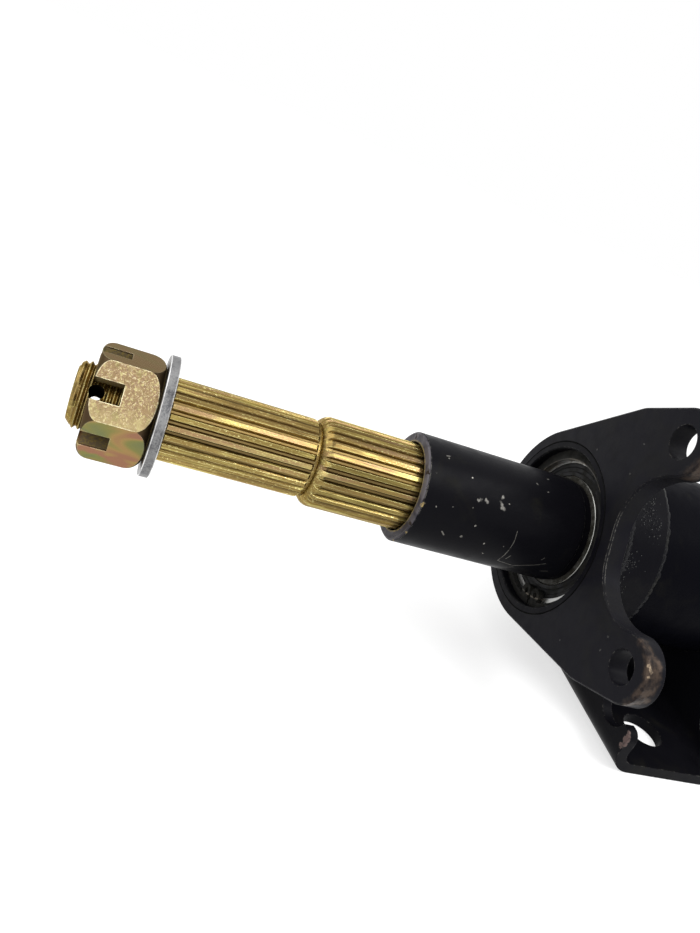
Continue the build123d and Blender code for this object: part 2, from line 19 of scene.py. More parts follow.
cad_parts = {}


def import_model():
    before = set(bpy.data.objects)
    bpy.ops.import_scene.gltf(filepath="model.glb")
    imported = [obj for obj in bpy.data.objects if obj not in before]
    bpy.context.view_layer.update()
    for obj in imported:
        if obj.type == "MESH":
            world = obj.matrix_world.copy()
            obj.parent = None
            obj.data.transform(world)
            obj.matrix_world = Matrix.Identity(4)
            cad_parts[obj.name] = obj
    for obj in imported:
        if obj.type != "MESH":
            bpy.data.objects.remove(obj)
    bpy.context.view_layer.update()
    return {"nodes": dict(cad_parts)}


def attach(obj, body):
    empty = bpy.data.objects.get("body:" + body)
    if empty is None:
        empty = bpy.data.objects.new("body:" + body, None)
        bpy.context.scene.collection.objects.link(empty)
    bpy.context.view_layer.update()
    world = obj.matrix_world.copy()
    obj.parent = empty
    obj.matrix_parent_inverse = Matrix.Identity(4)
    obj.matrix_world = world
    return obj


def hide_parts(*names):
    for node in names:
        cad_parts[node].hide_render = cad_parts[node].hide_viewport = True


LOG = logging.getLogger("rear_axle")

Socket = bpy.types.NodeSocket
Piece = bpy.types.Object
Mesh = bmesh.types.BMesh

MM = 0.001
SKIN = 0.2 * MM
AXLE_HEIGHT = 60 * MM
WHITE = (1, 1, 1, 1)
SLEEVE_RADIUS = 22 * MM
MOUTH = 117.5 * MM


class End(Enum):
    """The two ends of the axle, with the sign of their place along Y."""

    BRAKE = -1
    DRIVE = 1

    @property
    def prefix(self) -> str:
        """The start of the names of this end's nodes."""
        return f"{self.name.lower()}_"


class Graph:
    """A small builder of shader nodes, which keeps the finishes short to write."""

    def __init__(self, owner: bpy.types.Material | bpy.types.World) -> None:
        """Start with an empty node tree.

        Args:
            owner: The material or the world that the tree belongs to.
        """
        owner.use_nodes = True
        self.owner = owner
        self.tree = owner.node_tree
        self.tree.nodes.clear()

    @cached_property
    def coordinates(self) -> Socket:
        """The object's own coordinates."""
        return self.node("ShaderNodeTexCoord").outputs["Object"]

    def node(self, kind: str, inputs: dict[str | int, Any] | None = None, **settings: Any) -> bpy.types.Node:
        """Add a node, set its plain properties, and fill its inputs.

        Args:
            kind: The node's type name.
            inputs: Sockets, numbers or tuples, by the input's name or place.
            **settings: Properties of the node.

        Returns:
            The new node.
        """
        new = self.tree.nodes.new(kind)
        for key, value in settings.items():
            setattr(new, key, value)
        for key, value in (inputs or {}).items():
            if isinstance(value, Socket):
                self.tree.links.new(value, new.inputs[key])
            else:
                new.inputs[key].default_value = value
        return new

    def math(self, operation: str, first: Any, second: Any = 0.0, clamp: bool = False) -> Socket:
        """Add a math node.

        Args:
            operation: Blender's name of the operation.
            first: The first value.
            second: The second value.
            clamp: Whether the result stays between 0 and 1.

        Returns:
            The result's socket.
        """
        inputs = {0: first, 1: second}
        return self.node("ShaderNodeMath", inputs, operation=operation, use_clamp=clamp).outputs[0]

    def times(self, first: Any, second: Any) -> Socket:
        """One value times another."""
        return self.math("MULTIPLY", first, second)

    def plus(self, first: Any, second: Any) -> Socket:
        """One value plus another."""
        return self.math("ADD", first, second)

    def minus(self, first: Any, second: Any) -> Socket:
        """One value less another."""
        return self.math("SUBTRACT", first, second)

    def rest(self, value: Any) -> Socket:
        """What a value leaves of 1."""
        return self.minus(1.0, value)

    def larger(self, first: Any, second: Any) -> Socket:
        """The larger of two values."""
        return self.math("MAXIMUM", first, second)

    def squares(self, first: Any, second: Any) -> Socket:
        """The sum of the squares of two values."""
        return self.plus(self.times(first, first), self.times(second, second))

    def vector(self, operation: str, first: Any, second: Any = (0.0, 0.0, 0.0)) -> Socket:
        """Add a vector math node.

        Args:
            operation: Blender's name of the operation.
            first: The first vector.
            second: The second vector.

        Returns:
            The result's socket, which is a number where the operation measures.
        """
        new = self.node("ShaderNodeVectorMath", {0: first, 1: second}, operation=operation)
        return new.outputs["Value" if operation in ("DOT_PRODUCT", "DISTANCE", "LENGTH") else "Vector"]

    def scaled(self, vector: Any, factor: Any) -> Socket:
        """A vector or a colour times a number."""
        return self.node("ShaderNodeVectorMath", {0: vector, "Scale": factor}, operation="SCALE").outputs[0]

    def between(
        self,
        value: Any,
        low: float,
        high: float,
        start: float = 0.0,
        end: float = 1.0,
        shape: str = "SMOOTHSTEP",
    ) -> Socket:
        """Map a value from one range to another, held at the ends.

        Args:
            value: The value to map.
            low: Where the map starts.
            high: Where the map ends.
            start: The result at low.
            end: The result at high.
            shape: Blender's name of the curve between them.

        Returns:
            The mapped value's socket.
        """
        inputs = dict(enumerate((value, low, high, start, end)))
        return self.node("ShaderNodeMapRange", inputs, interpolation_type=shape).outputs[0]

    def mix(self, factor: Any, first: Any, second: Any) -> Socket:
        """Mix two colours.

        Args:
            factor: The share of the second colour.
            first: The first colour.
            second: The second colour.

        Returns:
            The mixed colour's socket.
        """
        inputs = {"Factor": factor, 6: first, 7: second}
        return self.node("ShaderNodeMix", inputs, data_type="RGBA").outputs[2]

    def noise(self, scale: float, detail: float, stretch: tuple = (1, 1, 1), warp: float = 0.0) -> Socket:
        """Add a noise in the object's own space.

        Args:
            scale: Patches to a metre.
            detail: How many octaves.
            stretch: Factors on X, Y and Z, for streaks.
            warp: How much the noise bends itself.

        Returns:
            The noise's value from 0 to 1.
        """
        place = self.node("ShaderNodeMapping", {"Vector": self.coordinates, "Scale": stretch}).outputs[0]
        inputs = {"Vector": place, "Scale": scale, "Detail": detail, "Distortion": warp}
        return self.node("ShaderNodeTexNoise", inputs).outputs["Fac"]

    def axes(self) -> tuple[Socket, ...]:
        """The object's own X, Y and Z."""
        return tuple(self.node("ShaderNodeSeparateXYZ", {0: self.coordinates}).outputs)

    def radius(self) -> Socket:
        """The distance from the axle's line."""
        x, _, z = self.axes()
        return self.math("SQRT", self.squares(x, self.minus(z, AXLE_HEIGHT)))

    def tooth_value(self, teeth: int, draw: float) -> Socket:
        """A random value from 0 to 1 that each tooth or groove of a spline has to itself.

        Args:
            teeth: How many teeth stand round the axle's line.
            draw: Another number gives other values.

        Returns:
            The value's socket.
        """
        x, _, z = self.axes()
        turn = self.math("ARCTAN2", self.minus(z, AXLE_HEIGHT), x)
        place = self.math("FLOOR", self.plus(self.times(turn, teeth / math.pi), 0.5))
        inputs = {"W": self.plus(place, draw)}
        return self.node("ShaderNodeTexWhiteNoise", inputs, noise_dimensions="1D").outputs["Value"]

    def facing(self, direction: tuple) -> Socket:
        """The cosine between the surface and a direction of length 1 in the object's own space."""
        return self.vector("DOT_PRODUCT", self.node("ShaderNodeTexCoord").outputs["Normal"], direction)

    def shaken(self, scale: float, reach: float) -> Socket:
        """The object's own coordinates, pushed about by a noise, for ragged shapes.

        Args:
            scale: The noise's patches to a metre.
            reach: How far a point may be pushed.

        Returns:
            The coordinates' socket.
        """
        inputs = {"Vector": self.coordinates, "Scale": scale, "Detail": 4.0}
        push = self.node("ShaderNodeTexNoise", inputs).outputs["Color"]
        middle = self.vector("SUBTRACT", push, (0.5, 0.5, 0.5))
        return self.vector("ADD", self.coordinates, self.scaled(middle, 2 * reach))

    def ramp(self, value: Any, *stops: tuple) -> Socket:
        """Run a value through a row of colours.

        Args:
            value: Where in the row to look.
            *stops: Pairs of place and colour, from low to high.

        Returns:
            The colour's socket.
        """
        new = self.node("ShaderNodeValToRGB", {0: value})
        row = new.color_ramp.elements
        while len(row) < len(stops):
            row.new(1.0)
        for element, (place, color) in zip(row, stops):
            element.position = place
            element.color = color
        return new.outputs[0]

    def stroke(self, place: Any, start: Vector, end: Vector, width: float, soft: float = 0.6) -> Socket:
        """A mask along a straight scratch.

        Args:
            place: The coordinates to measure from.
            start: One end of the scratch.
            end: The other end.
            width: Its width.
            soft: Where the mask ends, as a share of the width.

        Returns:
            The mask's socket.
        """
        run = end - start
        away = self.vector("SUBTRACT", place, tuple(start))
        share = self.math("ADD", self.vector("DOT_PRODUCT", away, tuple(run / run.length_squared)), 0.0, True)
        apart = self.vector("DISTANCE", away, self.scaled(tuple(run), share))
        return self.between(apart, width * 0.35, width * soft, 1.0, 0.0)

    def hole(self, along: Any, place: float, turn: float, radius: float) -> Socket:
        """A mask of the wall of a hole that runs across the axle.

        Args:
            along: The distance from the middle of the axle.
            place: Where the hole's line crosses the axle's.
            turn: The line's angle in degrees, from +X towards +Z.
            radius: Where the mask ends.

        Returns:
            The mask's socket.
        """
        x, _, z = self.axes()
        sine, cosine = math.sin(math.radians(turn)), math.cos(math.radians(turn))
        aside = self.minus(self.times(self.minus(z, AXLE_HEIGHT), cosine), self.times(x, sine))
        return self.math("LESS_THAN", self.squares(aside, self.minus(along, place)), radius * radius)

    def near(self, place: Any, point: Vector, reach: float) -> Socket:
        """A mask that is 1 at a point and falls to 0 at a distance.

        Args:
            place: The coordinates to measure from.
            point: The mask's middle.
            reach: Where the mask ends.

        Returns:
            The mask's socket.
        """
        return self.between(self.vector("DISTANCE", place, tuple(point)), 0.0, reach, 1.0, 0.0)

    def edges(self, width: float) -> Socket:
        """A mask of the piece's edges, from how far a rounded normal leaves the true one.

        Args:
            width: How far from the edge the mask reaches.

        Returns:
            The mask's socket.
        """
        rounded = self.node("ShaderNodeBevel", {"Radius": width}, samples=6).outputs[0]
        true = self.node("ShaderNodeNewGeometry").outputs["Normal"]
        return self.between(self.math("ABSOLUTE", self.vector("DOT_PRODUCT", rounded, true)), 0.998, 0.9)

    def bump(self, height: Any, distance: float, strength: float, edge: float) -> Socket:
        """Turn a height into a normal, over softened edges.

        Args:
            height: The height from 0 to 1.
            distance: How high 1 is.
            strength: How much of the bump shows.
            edge: The radius of the piece's softened edges.

        Returns:
            The normal's socket.
        """
        soft = self.node("ShaderNodeBevel", {"Radius": edge}, samples=4).outputs[0]
        inputs = {"Height": height, "Distance": distance, "Strength": strength, "Normal": soft}
        return self.node("ShaderNodeBump", inputs).outputs[0]

    def finish(self, **sockets: Any) -> bpy.types.Material:
        """Close the tree with a shader.

        Args:
            **sockets: The shader's inputs by name, with underscores for spaces.

        Returns:
            The material.
        """
        inputs = {key.replace("_", " "): value for key, value in sockets.items()}
        shader = self.node("ShaderNodeBsdfPrincipled", inputs)
        self.node("ShaderNodeOutputMaterial", {"Surface": shader.outputs[0]})
        return self.owner


@dataclass(frozen=True)
class Spline:
    """Where a spline lies, from the middle of the axle outwards, with its radius, its teeth and its shade, a
    painted shade that scales the plating's colour darker.
    """

    start: float
    end: float
    radius: float
    teeth: int
    shade: float
    cone: float = 0.0
    cone_foot: float = 0.0

    def crest(self, graph: Graph, along: Socket) -> Any:
        """The radius of the teeth's tops, which falls over a cone at the outer end where there is one.

        Args:
            graph: The graph to add to.
            along: The distance from the middle of the axle.

        Returns:
            The radius.
        """
        if not self.cone:
            return self.radius
        return graph.between(along, self.end - self.cone, self.end, self.radius, self.cone_foot, "LINEAR")


@dataclass(frozen=True)
class GoldZinc:
    """Yellow chromated zinc: each tooth has its own tint, with painted shade in the grooves and painted
    highlights on the teeth.
    """

    name: str = "shaft_gold_zinc"
    olive: tuple = (0.235, 0.185, 0.055, 1)
    gold: tuple = (0.3, 0.205, 0.065, 1)
    brown: tuple = (0.21, 0.14, 0.05, 1)
    pink: tuple = (0.34, 0.215, 0.11, 1)
    yellow: tuple = (0.62, 0.52, 0.17, 1)
    # The next three colours are painted shade in the grooves.
    gap: tuple = (0.15, 0.105, 0.042, 1)
    light_groove_shade: tuple = (0.29, 0.2, 0.075, 1)
    shadow: tuple = (0.045, 0.03, 0.013, 1)
    # line is the colour of the painted highlights.
    line: tuple = (1.0, 0.93, 0.42, 1)
    tint: tuple = (0.8, 0.68, 0.46, 1)
    # The next colour is painted shade on the cotter hole's wall.
    hole_wall_shade: tuple = (0.012, 0.009, 0.006, 1)
    # The next factor scales the painted glints and the grain's bump.
    painted_glint_and_bump: float = 1.0
    draws: tuple = ((0.71, 0.5), (0.0, 0.5), (0.37, 0.4))
    edge_width: float = 0.3 * MM
    cloud_scale: float = 52.0
    streak_scale: float = 900.0
    point_scale: float = 2600.0
    gap_scale: float = 420.0
    grain_scale: float = 1700.0
    hole_place: float = 302.4 * MM
    hole_turn: float = 35.0
    hole_radius: float = 2.63 * MM

    def make(self, splines: tuple[Spline, ...], depth: float, dim: float) -> bpy.types.Material:
        """Build the material.

        Args:
            splines: The splines of one half, which the other half mirrors.
            depth: The depth of the teeth.
            dim: The painted shade, a factor on the plating's colour, where there are no teeth.

        Returns:
            The material.
        """
        g = Graph(bpy.data.materials.new(self.name))
        along = g.math("ABSOLUTE", g.axes()[1])
        radius = g.radius()
        groove: Any = 0.0
        flank: Any = 0.0
        # Painted shade: the plating's colour is scaled darker by a factor of its own in each region.
        shade: Any = dim
        values: list[Any] = [middle for _, middle in self.draws]
        for spline in splines:
            inside = g.math("GREATER_THAN", along, spline.start)
            inside = g.times(inside, g.math("LESS_THAN", along, spline.end))
            below = g.minus(spline.crest(g, along), radius)
            groove = g.larger(groove, g.times(inside, g.between(below, 0.5 * depth, 0.95 * depth)))
            # The flank mask marks where a painted shadow line lies on the teeth's lower flanks.
            upper = g.between(below, 0.3 * depth, 0.55 * depth)
            lower = g.between(below, 0.96 * depth, 0.8 * depth)
            flank = g.larger(flank, g.times(inside, g.times(upper, lower)))
            for number, (draw, middle) in enumerate(self.draws):
                shift = g.minus(g.tooth_value(spline.teeth, draw), middle)
                values[number] = g.plus(values[number], g.times(inside, shift))
            shade = g.plus(shade, g.times(inside, spline.shade - dim))
        darkness, tint, glint = values
        clouds = g.noise(self.cloud_scale, 3, (1, 0.5, 1), 0.8)
        streaks = g.noise(self.streak_scale, 5, (1, 0.045, 1))
        color = g.ramp(
            g.plus(g.times(tint, 0.4), g.times(clouds, 0.6)),
            (0.24, self.olive),
            (0.4, self.gold),
            (0.5, self.brown),
            (0.58, self.gold),
            (0.66, self.pink),
            (0.78, self.yellow),
        )
        color = g.mix(g.between(streaks, 0.42, 0.3, 0.0, 0.6), color, self.brown)
        # Painted highlights: yellow streaks along the axle and scattered points in the line colour stand for
        # glints on the plating.
        color = g.mix(g.between(streaks, 0.54, 0.68, 0.0, 0.7 * self.painted_glint_and_bump), color, self.yellow)
        points = g.between(g.noise(self.point_scale, 3, (1, 0.35, 1)), 0.6, 0.68)
        painted_glints = g.times(points, g.between(clouds, 0.42, 0.6, 0.1 * self.painted_glint_and_bump, 0.8 * self.painted_glint_and_bump))
        color = g.mix(painted_glints, color, self.line)
        # Painted shade: the groove bottoms take the darker gap colours, and the lower flanks a dark shadow
        # line, darker in some grooves than in others.
        bottom = g.mix(darkness, self.gap, self.light_groove_shade)
        bottom = g.mix(g.between(streaks, 0.5, 0.68, 0.0, 0.5), bottom, self.gold)
        color = g.mix(groove, color, bottom)
        color = g.mix(g.times(flank, g.between(darkness, 0.0, 1.0, 0.85, 0.3)), color, self.shadow)
        # Painted highlight: narrow lines in the pale line colour along the teeth's edges, stronger on some
        # teeth than on others.
        broken = g.between(g.noise(self.gap_scale, 4, (1, 0.3, 1)), 0.36, 0.6, 0.35, 1.0)
        bright = g.times(g.edges(self.edge_width), broken)
        bright = g.times(bright, g.times(g.rest(groove), g.between(glint, 0.1, 0.7, 0.15, 1.0)))
        color = g.scaled(g.mix(bright, color, self.line), shade)
        # Painted shade: the cotter hole's wall is made dark, dull and not metallic, as shade inside the hole.
        wall = g.hole(along, self.hole_place, self.hole_turn, self.hole_radius)
        rough = g.plus(g.between(streaks, 0.3, 0.7, 0.2, 0.34), g.times(groove, 0.12))
        grain = g.noise(self.grain_scale, 4, (1, 0.1, 1))
        return g.finish(
            Base_Color=g.mix(wall, color, self.hole_wall_shade),
            Metallic=g.times(0.96, g.rest(wall)),
            Roughness=g.larger(rough, g.times(wall, 0.95)),
            Specular_IOR_Level=g.times(0.5, g.rest(wall)),
            Specular_Tint=self.tint,
            Normal=g.bump(grain, 0.11 * MM, 0.75 * self.painted_glint_and_bump, 0.14 * MM),
        )


@dataclass(frozen=True)
class NutZinc:
    """Yellow zinc on the castle nuts: three grainy flats and smooth ones that shimmer in other hues, with
    painted shade on the upper flats, the ends and the slots, and painted highlights.
    """

    name: str = "nut_yellow_zinc"
    gold: tuple = (0.24, 0.172, 0.078, 1)
    pink: tuple = (0.245, 0.157, 0.1, 1)
    pale: tuple = (0.4, 0.34, 0.16, 1)
    rose: tuple = (0.28, 0.14, 0.085, 1)
    green: tuple = (0.2, 0.19, 0.065, 1)
    teal: tuple = (0.15, 0.168, 0.078, 1)
    # grey is painted shade on the upper flats and the end face; dark is painted shade on the turned ends and
    # also colours dark grains.
    grey: tuple = (0.105, 0.074, 0.036, 1)
    dark: tuple = (0.05, 0.033, 0.018, 1)
    amber: tuple = (0.31, 0.205, 0.08, 1)
    tint: tuple = (0.76, 0.67, 0.53, 1)
    # The next two colours are painted shade inside the slots.
    slot_shade_olive: tuple = (0.15, 0.118, 0.07, 1)
    mossy: tuple = (0.23, 0.175, 0.06, 1)
    # The next colour is that of the painted highlights, on edges and as glints.
    bright: tuple = (1.0, 0.93, 0.62, 1)
    painted_highlight_heights: tuple = (8 * MM, 3 * MM)
    shade_grey_above: tuple = (14.5 * MM, 17 * MM)
    slot_shade_fade: float = 1.6 * MM
    edge_width: float = 0.6 * MM
    fine_scale: float = 1150.0
    coarse_scale: float = 240.0
    glint_scale: float = 1500.0
    shimmer_scale: float = 58.0
    edge_highlight_scale: float = 420.0
    bump_scale: float = 720.0

    def make(self, tip: float, flat: float, turn: float) -> bpy.types.Material:
        """Build the material.

        Args:
            tip: The distance of the nut's tip from the middle of the axle.
            flat: Half its size across flats.
            turn: The angle of the flat that faces the cotter hole, in degrees.

        Returns:
            The material.
        """
        g = Graph(bpy.data.materials.new(self.name))
        _, y, z = g.axes()
        along = g.math("ABSOLUTE", y)
        fine = g.noise(self.fine_scale, 5, warp=0.5)
        grain: Any = 0.0
        for third in range(3):
            angle = math.radians(turn + 120 * third)
            face = g.math("GREATER_THAN", g.facing((math.cos(angle), 0.0, math.sin(angle))), 0.97)
            grain = g.larger(grain, face)
        # The dome mask carries painted shade onto the turned ends.
        dome = g.between(g.math("ABSOLUTE", g.facing((0.0, 1.0, 0.0))), 0.12, 0.3)
        color = g.mix(grain, self.shimmer(g, z, dome), self.grainy(g, z, fine))
        inside = g.math("LESS_THAN", g.radius(), flat - SKIN)
        # Painted shade: inside the slots the finish fades from the plating at the tip to a duller, less
        # metallic olive further in.
        slot = g.times(inside, g.between(along, tip - SKIN, tip - self.slot_shade_fade, 0.0, 0.92))
        end_face = g.times(inside, g.math("GREATER_THAN", along, tip - SKIN))
        # Painted shade: the nut's end face takes the grey.
        color = g.mix(g.times(end_face, 0.7), color, self.grey)
        color = g.mix(slot, color, g.mix(g.between(fine, 0.45, 0.6), self.slot_shade_olive, self.mossy))
        # Painted highlight: light lines in the highlight colour along the nut's edges, strongest on the
        # grainy flats; the mask named worn carries them.
        broken = g.between(g.noise(self.edge_highlight_scale, 4), 0.38, 0.54, 0.15, 1.0)
        worn = g.times(g.times(g.edges(self.edge_width), broken), g.rest(slot))
        worn = g.times(worn, g.between(grain, 0.0, 1.0, 0.25, 1.0))
        rough = g.plus(0.27, g.times(grain, g.between(fine, 0.35, 0.7, 0.02, 0.2)))
        height = g.times(g.noise(self.bump_scale, 5, warp=0.4), g.plus(0.12, g.times(grain, 0.88)))
        return g.finish(
            Base_Color=g.mix(worn, color, self.bright),
            Metallic=g.minus(0.95, g.times(slot, 0.75)),
            Roughness=g.plus(rough, g.times(g.larger(slot, dome), 0.25)),
            Specular_IOR_Level=g.times(0.5, g.rest(slot)),
            Specular_Tint=self.tint,
            Normal=g.bump(height, 0.3 * MM, 0.8, 0.4 * MM),
        )

    def grainy(self, g: Graph, z: Socket, fine: Socket) -> Socket:
        """The colour of the grainy flats, with painted glints and a painted highlight that makes them paler
        low down.

        Args:
            g: The graph to add to.
            z: The height above the floor.
            fine: The fine noise.

        Returns:
            The colour's socket.
        """
        coarse = g.noise(self.coarse_scale, 4, warp=0.5)
        glints = g.noise(self.glint_scale, 4, warp=1.2)
        color = g.ramp(fine, (0.36, self.pink), (0.46, self.gold), (0.54, self.pink), (0.62, self.pale))
        # Painted glints: light specks in the highlight colour on the grainy flats.
        color = g.mix(g.between(glints, 0.58, 0.66, 0.0, 0.36), color, self.bright)
        color = g.mix(g.between(glints, 0.4, 0.32, 0.0, 0.5), color, self.dark)
        # Painted highlight: the grainy flats turn paler towards their lower part.
        high, low = self.painted_highlight_heights
        lower = g.between(z, AXLE_HEIGHT + high, AXLE_HEIGHT + low, 0.0, 0.35)
        color = g.mix(g.plus(lower, g.between(coarse, 0.54, 0.68, 0.0, 0.4)), color, self.pale)
        return g.mix(g.between(coarse, 0.42, 0.32, 0.0, 0.3), color, self.green)

    def shimmer(self, g: Graph, z: Socket, dome: Socket) -> Socket:
        """The colour of the smooth flats, with painted shade in grey on the upper ones, and of the turned
        end, darkened by painted shade.

        Args:
            g: The graph to add to.
            z: The height above the floor.
            dome: A mask of the turned end.

        Returns:
            The colour's socket.
        """
        color = g.ramp(
            g.noise(self.shimmer_scale, 2, (1, 0.8, 1.3), 0.6),
            (0.33, self.teal),
            (0.38, self.green),
            (0.43, self.rose),
            (0.49, self.rose),
            (0.53, self.amber),
            (0.57, self.green),
            (0.62, self.teal),
            (0.67, self.amber),
            (0.72, self.rose),
        )
        # Painted shade: the flats high on the nut turn grey.
        low, high = self.shade_grey_above
        upper = g.between(z, AXLE_HEIGHT + low, AXLE_HEIGHT + high)
        color = g.mix(g.times(upper, 0.85), color, self.grey)
        # Painted shade: the turned ends are darkened almost to the dark colour.
        return g.mix(g.times(dome, 0.95), color, self.dark)


@dataclass(frozen=True)
class PlainZinc:
    """Silver zinc plate with a fine grain, and painted highlights on its turned-off corners and edges."""

    name: str = "washer_plain_zinc"
    silver: tuple = (0.21, 0.21, 0.21, 1)
    dull: tuple = (0.085, 0.085, 0.09, 1)
    # The next colour is that of the painted highlights.
    bright: tuple = (0.8, 0.8, 0.8, 1)
    edge_width: float = 0.25 * MM
    grain_scale: float = 1500.0
    patch_scale: float = 190.0

    def make(self) -> bpy.types.Material:
        """Build the material.

        Returns:
            The material.
        """
        g = Graph(bpy.data.materials.new(self.name))
        grain = g.noise(self.grain_scale, 5, warp=0.3)
        patches = g.noise(self.patch_scale, 4)
        tone = g.plus(g.times(grain, 0.4), g.times(patches, 0.6))
        color = g.mix(g.between(tone, 0.4, 0.6), self.dull, self.silver)
        # Painted highlight: the turned-off corners and the edges take the pale highlight colour.
        lean = g.math("ABSOLUTE", g.facing((0.0, 1.0, 0.0)))
        corner = g.times(g.between(lean, 0.2, 0.4), g.between(lean, 0.98, 0.9))
        color = g.mix(g.times(corner, g.between(patches, 0.35, 0.6, 0.4, 0.9)), color, self.bright)
        return g.finish(
            Base_Color=g.mix(g.times(g.edges(self.edge_width), 0.4), color, self.bright),
            Metallic=0.92,
            Roughness=g.between(patches, 0.35, 0.65, 0.27, 0.42),
            Normal=g.bump(grain, 0.1 * MM, 0.6, 0.2 * MM),
        )


@dataclass(frozen=True)
class Chip:
    """A place where the paint is worn to metal."""

    place: Vector
    reach: float
    color: tuple


@dataclass(frozen=True)
class Scratch:
    """A straight scratch through the paint, or a ragged band of wear where it has a colour of its own."""

    start: Vector
    end: Vector
    width: float
    color: tuple | None = None


@dataclass(frozen=True)
class BlackPaint:
    """Satin black paint, with dust, worn edges, chips and scratches."""

    name: str
    chips: tuple[Chip, ...] = ()
    scratches: tuple[Scratch, ...] = ()
    edge_wear: float = 0.35
    edge_width: float = 0.5 * MM
    grain: float = 600.0
    grain_height: float = 0.05 * MM
    roughness: tuple = (0.36, 0.5)
    specular: float = 0.05
    paint: tuple = (0.0042, 0.0041, 0.0056, 1)
    dust: tuple = (0.0115, 0.011, 0.0085, 1)
    dusty: tuple = (0.46, 0.68)
    metal: tuple = (0.15, 0.145, 0.13, 1)
    mouth: tuple | None = None
    mouth_paint_and_sheen: tuple = ((0.05, 0.046, 0.054, 1), (0.115, 0.106, 0.115, 1))
    rust: tuple = (0.02, 0.013, 0.01, 1)
    brass: tuple = (0.36, 0.28, 0.1, 1)
    rough_spots: tuple = ()
    worn_edges: tuple = ()
    seam: float = 0.0
    seam_color: tuple = (0.0006, 0.0006, 0.0008, 1)
    ragged: tuple = (900.0, 0.7 * MM)
    wavy: tuple = (330.0, 0.35 * MM)
    torn_scale: float = 420.0
    torn_reach: float = 1.6 * MM
    broken_scale: float = 950.0
    dust_scale: float = 55.0
    speck_scale: float = 700.0
    gloss_scale: float = 170.0
    lump_scale: float = 1300.0
    mottle_scale: float = 330.0
    stain_scale: float = 150.0
    rust_scale: float = 420.0

    def make(self) -> bpy.types.Material:
        """Build the material.

        Returns:
            The material.
        """
        g = Graph(bpy.data.materials.new(self.name))
        broken = g.noise(self.broken_scale, 5, warp=0.6)
        ragged = g.shaken(*self.ragged)
        metal, wear = self.worn(g, broken, ragged)
        seam: Any = 0.0
        if self.seam:
            gap = g.math("ABSOLUTE", g.minus(g.radius(), self.seam))
            seam = g.between(gap, 0.3 * MM, 0.5 * MM, 1.0, 0.0)
            wear = g.times(wear, g.between(gap, 0.8 * MM, 1.2 * MM))
        low, high = self.dusty
        dust = g.between(g.noise(self.dust_scale, 5, warp=0.8), low, high)
        dust = g.times(dust, g.between(g.noise(self.speck_scale, 4), 0.3, 0.7, 0.5, 1.0))
        color = g.mix(dust, self.paint, self.dust)
        if self.mouth:
            color = self.with_mouth(g, color, broken)
        color = g.mix(seam, g.mix(wear, color, metal), self.seam_color)
        low, high = self.roughness
        rough = g.plus(g.between(g.noise(self.gloss_scale, 4), 0.35, 0.7, low, high), g.times(dust, 0.1))
        height = g.minus(g.noise(self.grain, 5), g.times(wear, 1.5))
        for place, reach in self.rough_spots:
            lumps = g.times(g.between(g.near(ragged, place, reach), 0.05, 0.5), g.noise(self.lump_scale, 3))
            height = g.plus(height, g.times(lumps, 3.0))
        return g.finish(
            Base_Color=color,
            Metallic=g.times(wear, 0.8),
            Roughness=rough,
            Specular_IOR_Level=self.specular,
            Normal=g.bump(height, self.grain_height, 0.7, 0.4 * MM),
        )

    def worn(self, g: Graph, broken: Socket, ragged: Socket) -> tuple[Any, Socket]:
        """Where the paint is worn away, and what shows there.

        Args:
            g: The graph to add to.
            broken: A noise that breaks up edges.
            ragged: Shaken coordinates for the chips.

        Returns:
            The metal's colour and the mask of the wear.
        """
        wavy = g.shaken(*self.wavy)
        torn = g.shaken(self.torn_scale, self.torn_reach)
        mottle = g.between(g.noise(self.mottle_scale, 6), 0.34, 0.62, 0.15, 1.0)
        wear = g.times(g.edges(self.edge_width), g.between(broken, 0.52, 0.62, 0.0, self.edge_wear))
        metal: Any = self.metal
        for scratch in self.scratches:
            if scratch.color:
                line = g.stroke(torn, scratch.start, scratch.end, scratch.width, 1.0)
                shown = g.mix(broken, tuple(0.5 * part for part in scratch.color), scratch.color)
                metal = g.mix(g.between(line, 0.0, 0.2), metal, shown)
                line = g.times(line, g.times(mottle, scratch.color[3]))
            else:
                line = g.stroke(wavy, scratch.start, scratch.end, scratch.width)
                line = g.times(line, g.between(broken, 0.3, 0.5, 0.35, 1.0))
            wear = g.larger(wear, line)
        for chip in self.chips:
            spot = g.between(g.near(ragged, chip.place, chip.reach), 0.25, 0.45)
            spot = g.times(spot, g.between(broken, 0.36, 0.5, 0.35, 1.0))
            metal = g.mix(spot, metal, chip.color)
            wear = g.larger(wear, g.times(spot, chip.color[3]))
        for place, reach in self.worn_edges:
            local = g.between(g.near(wavy, place, reach), 0.02, 0.3)
            local = g.times(local, g.between(g.edges(self.edge_width), 0.1, 0.6))
            wear = g.larger(wear, g.times(local, g.between(broken, 0.38, 0.54, 0.1, 1.0)))
        return metal, wear

    def with_mouth(self, g: Graph, color: Socket, broken: Socket) -> Socket:
        """Add the end face of a sleeve's mouth in greys far lighter than the paint, partly paint and partly
        painted reflection, with rust and a brassy inner edge.

        Args:
            g: The graph to add to.
            color: The paint's colour.
            broken: A noise that breaks up edges.

        Returns:
            The colour's socket.
        """
        start, inner = self.mouth
        face = g.between(g.math("ABSOLUTE", g.axes()[1]), start, start + SKIN)
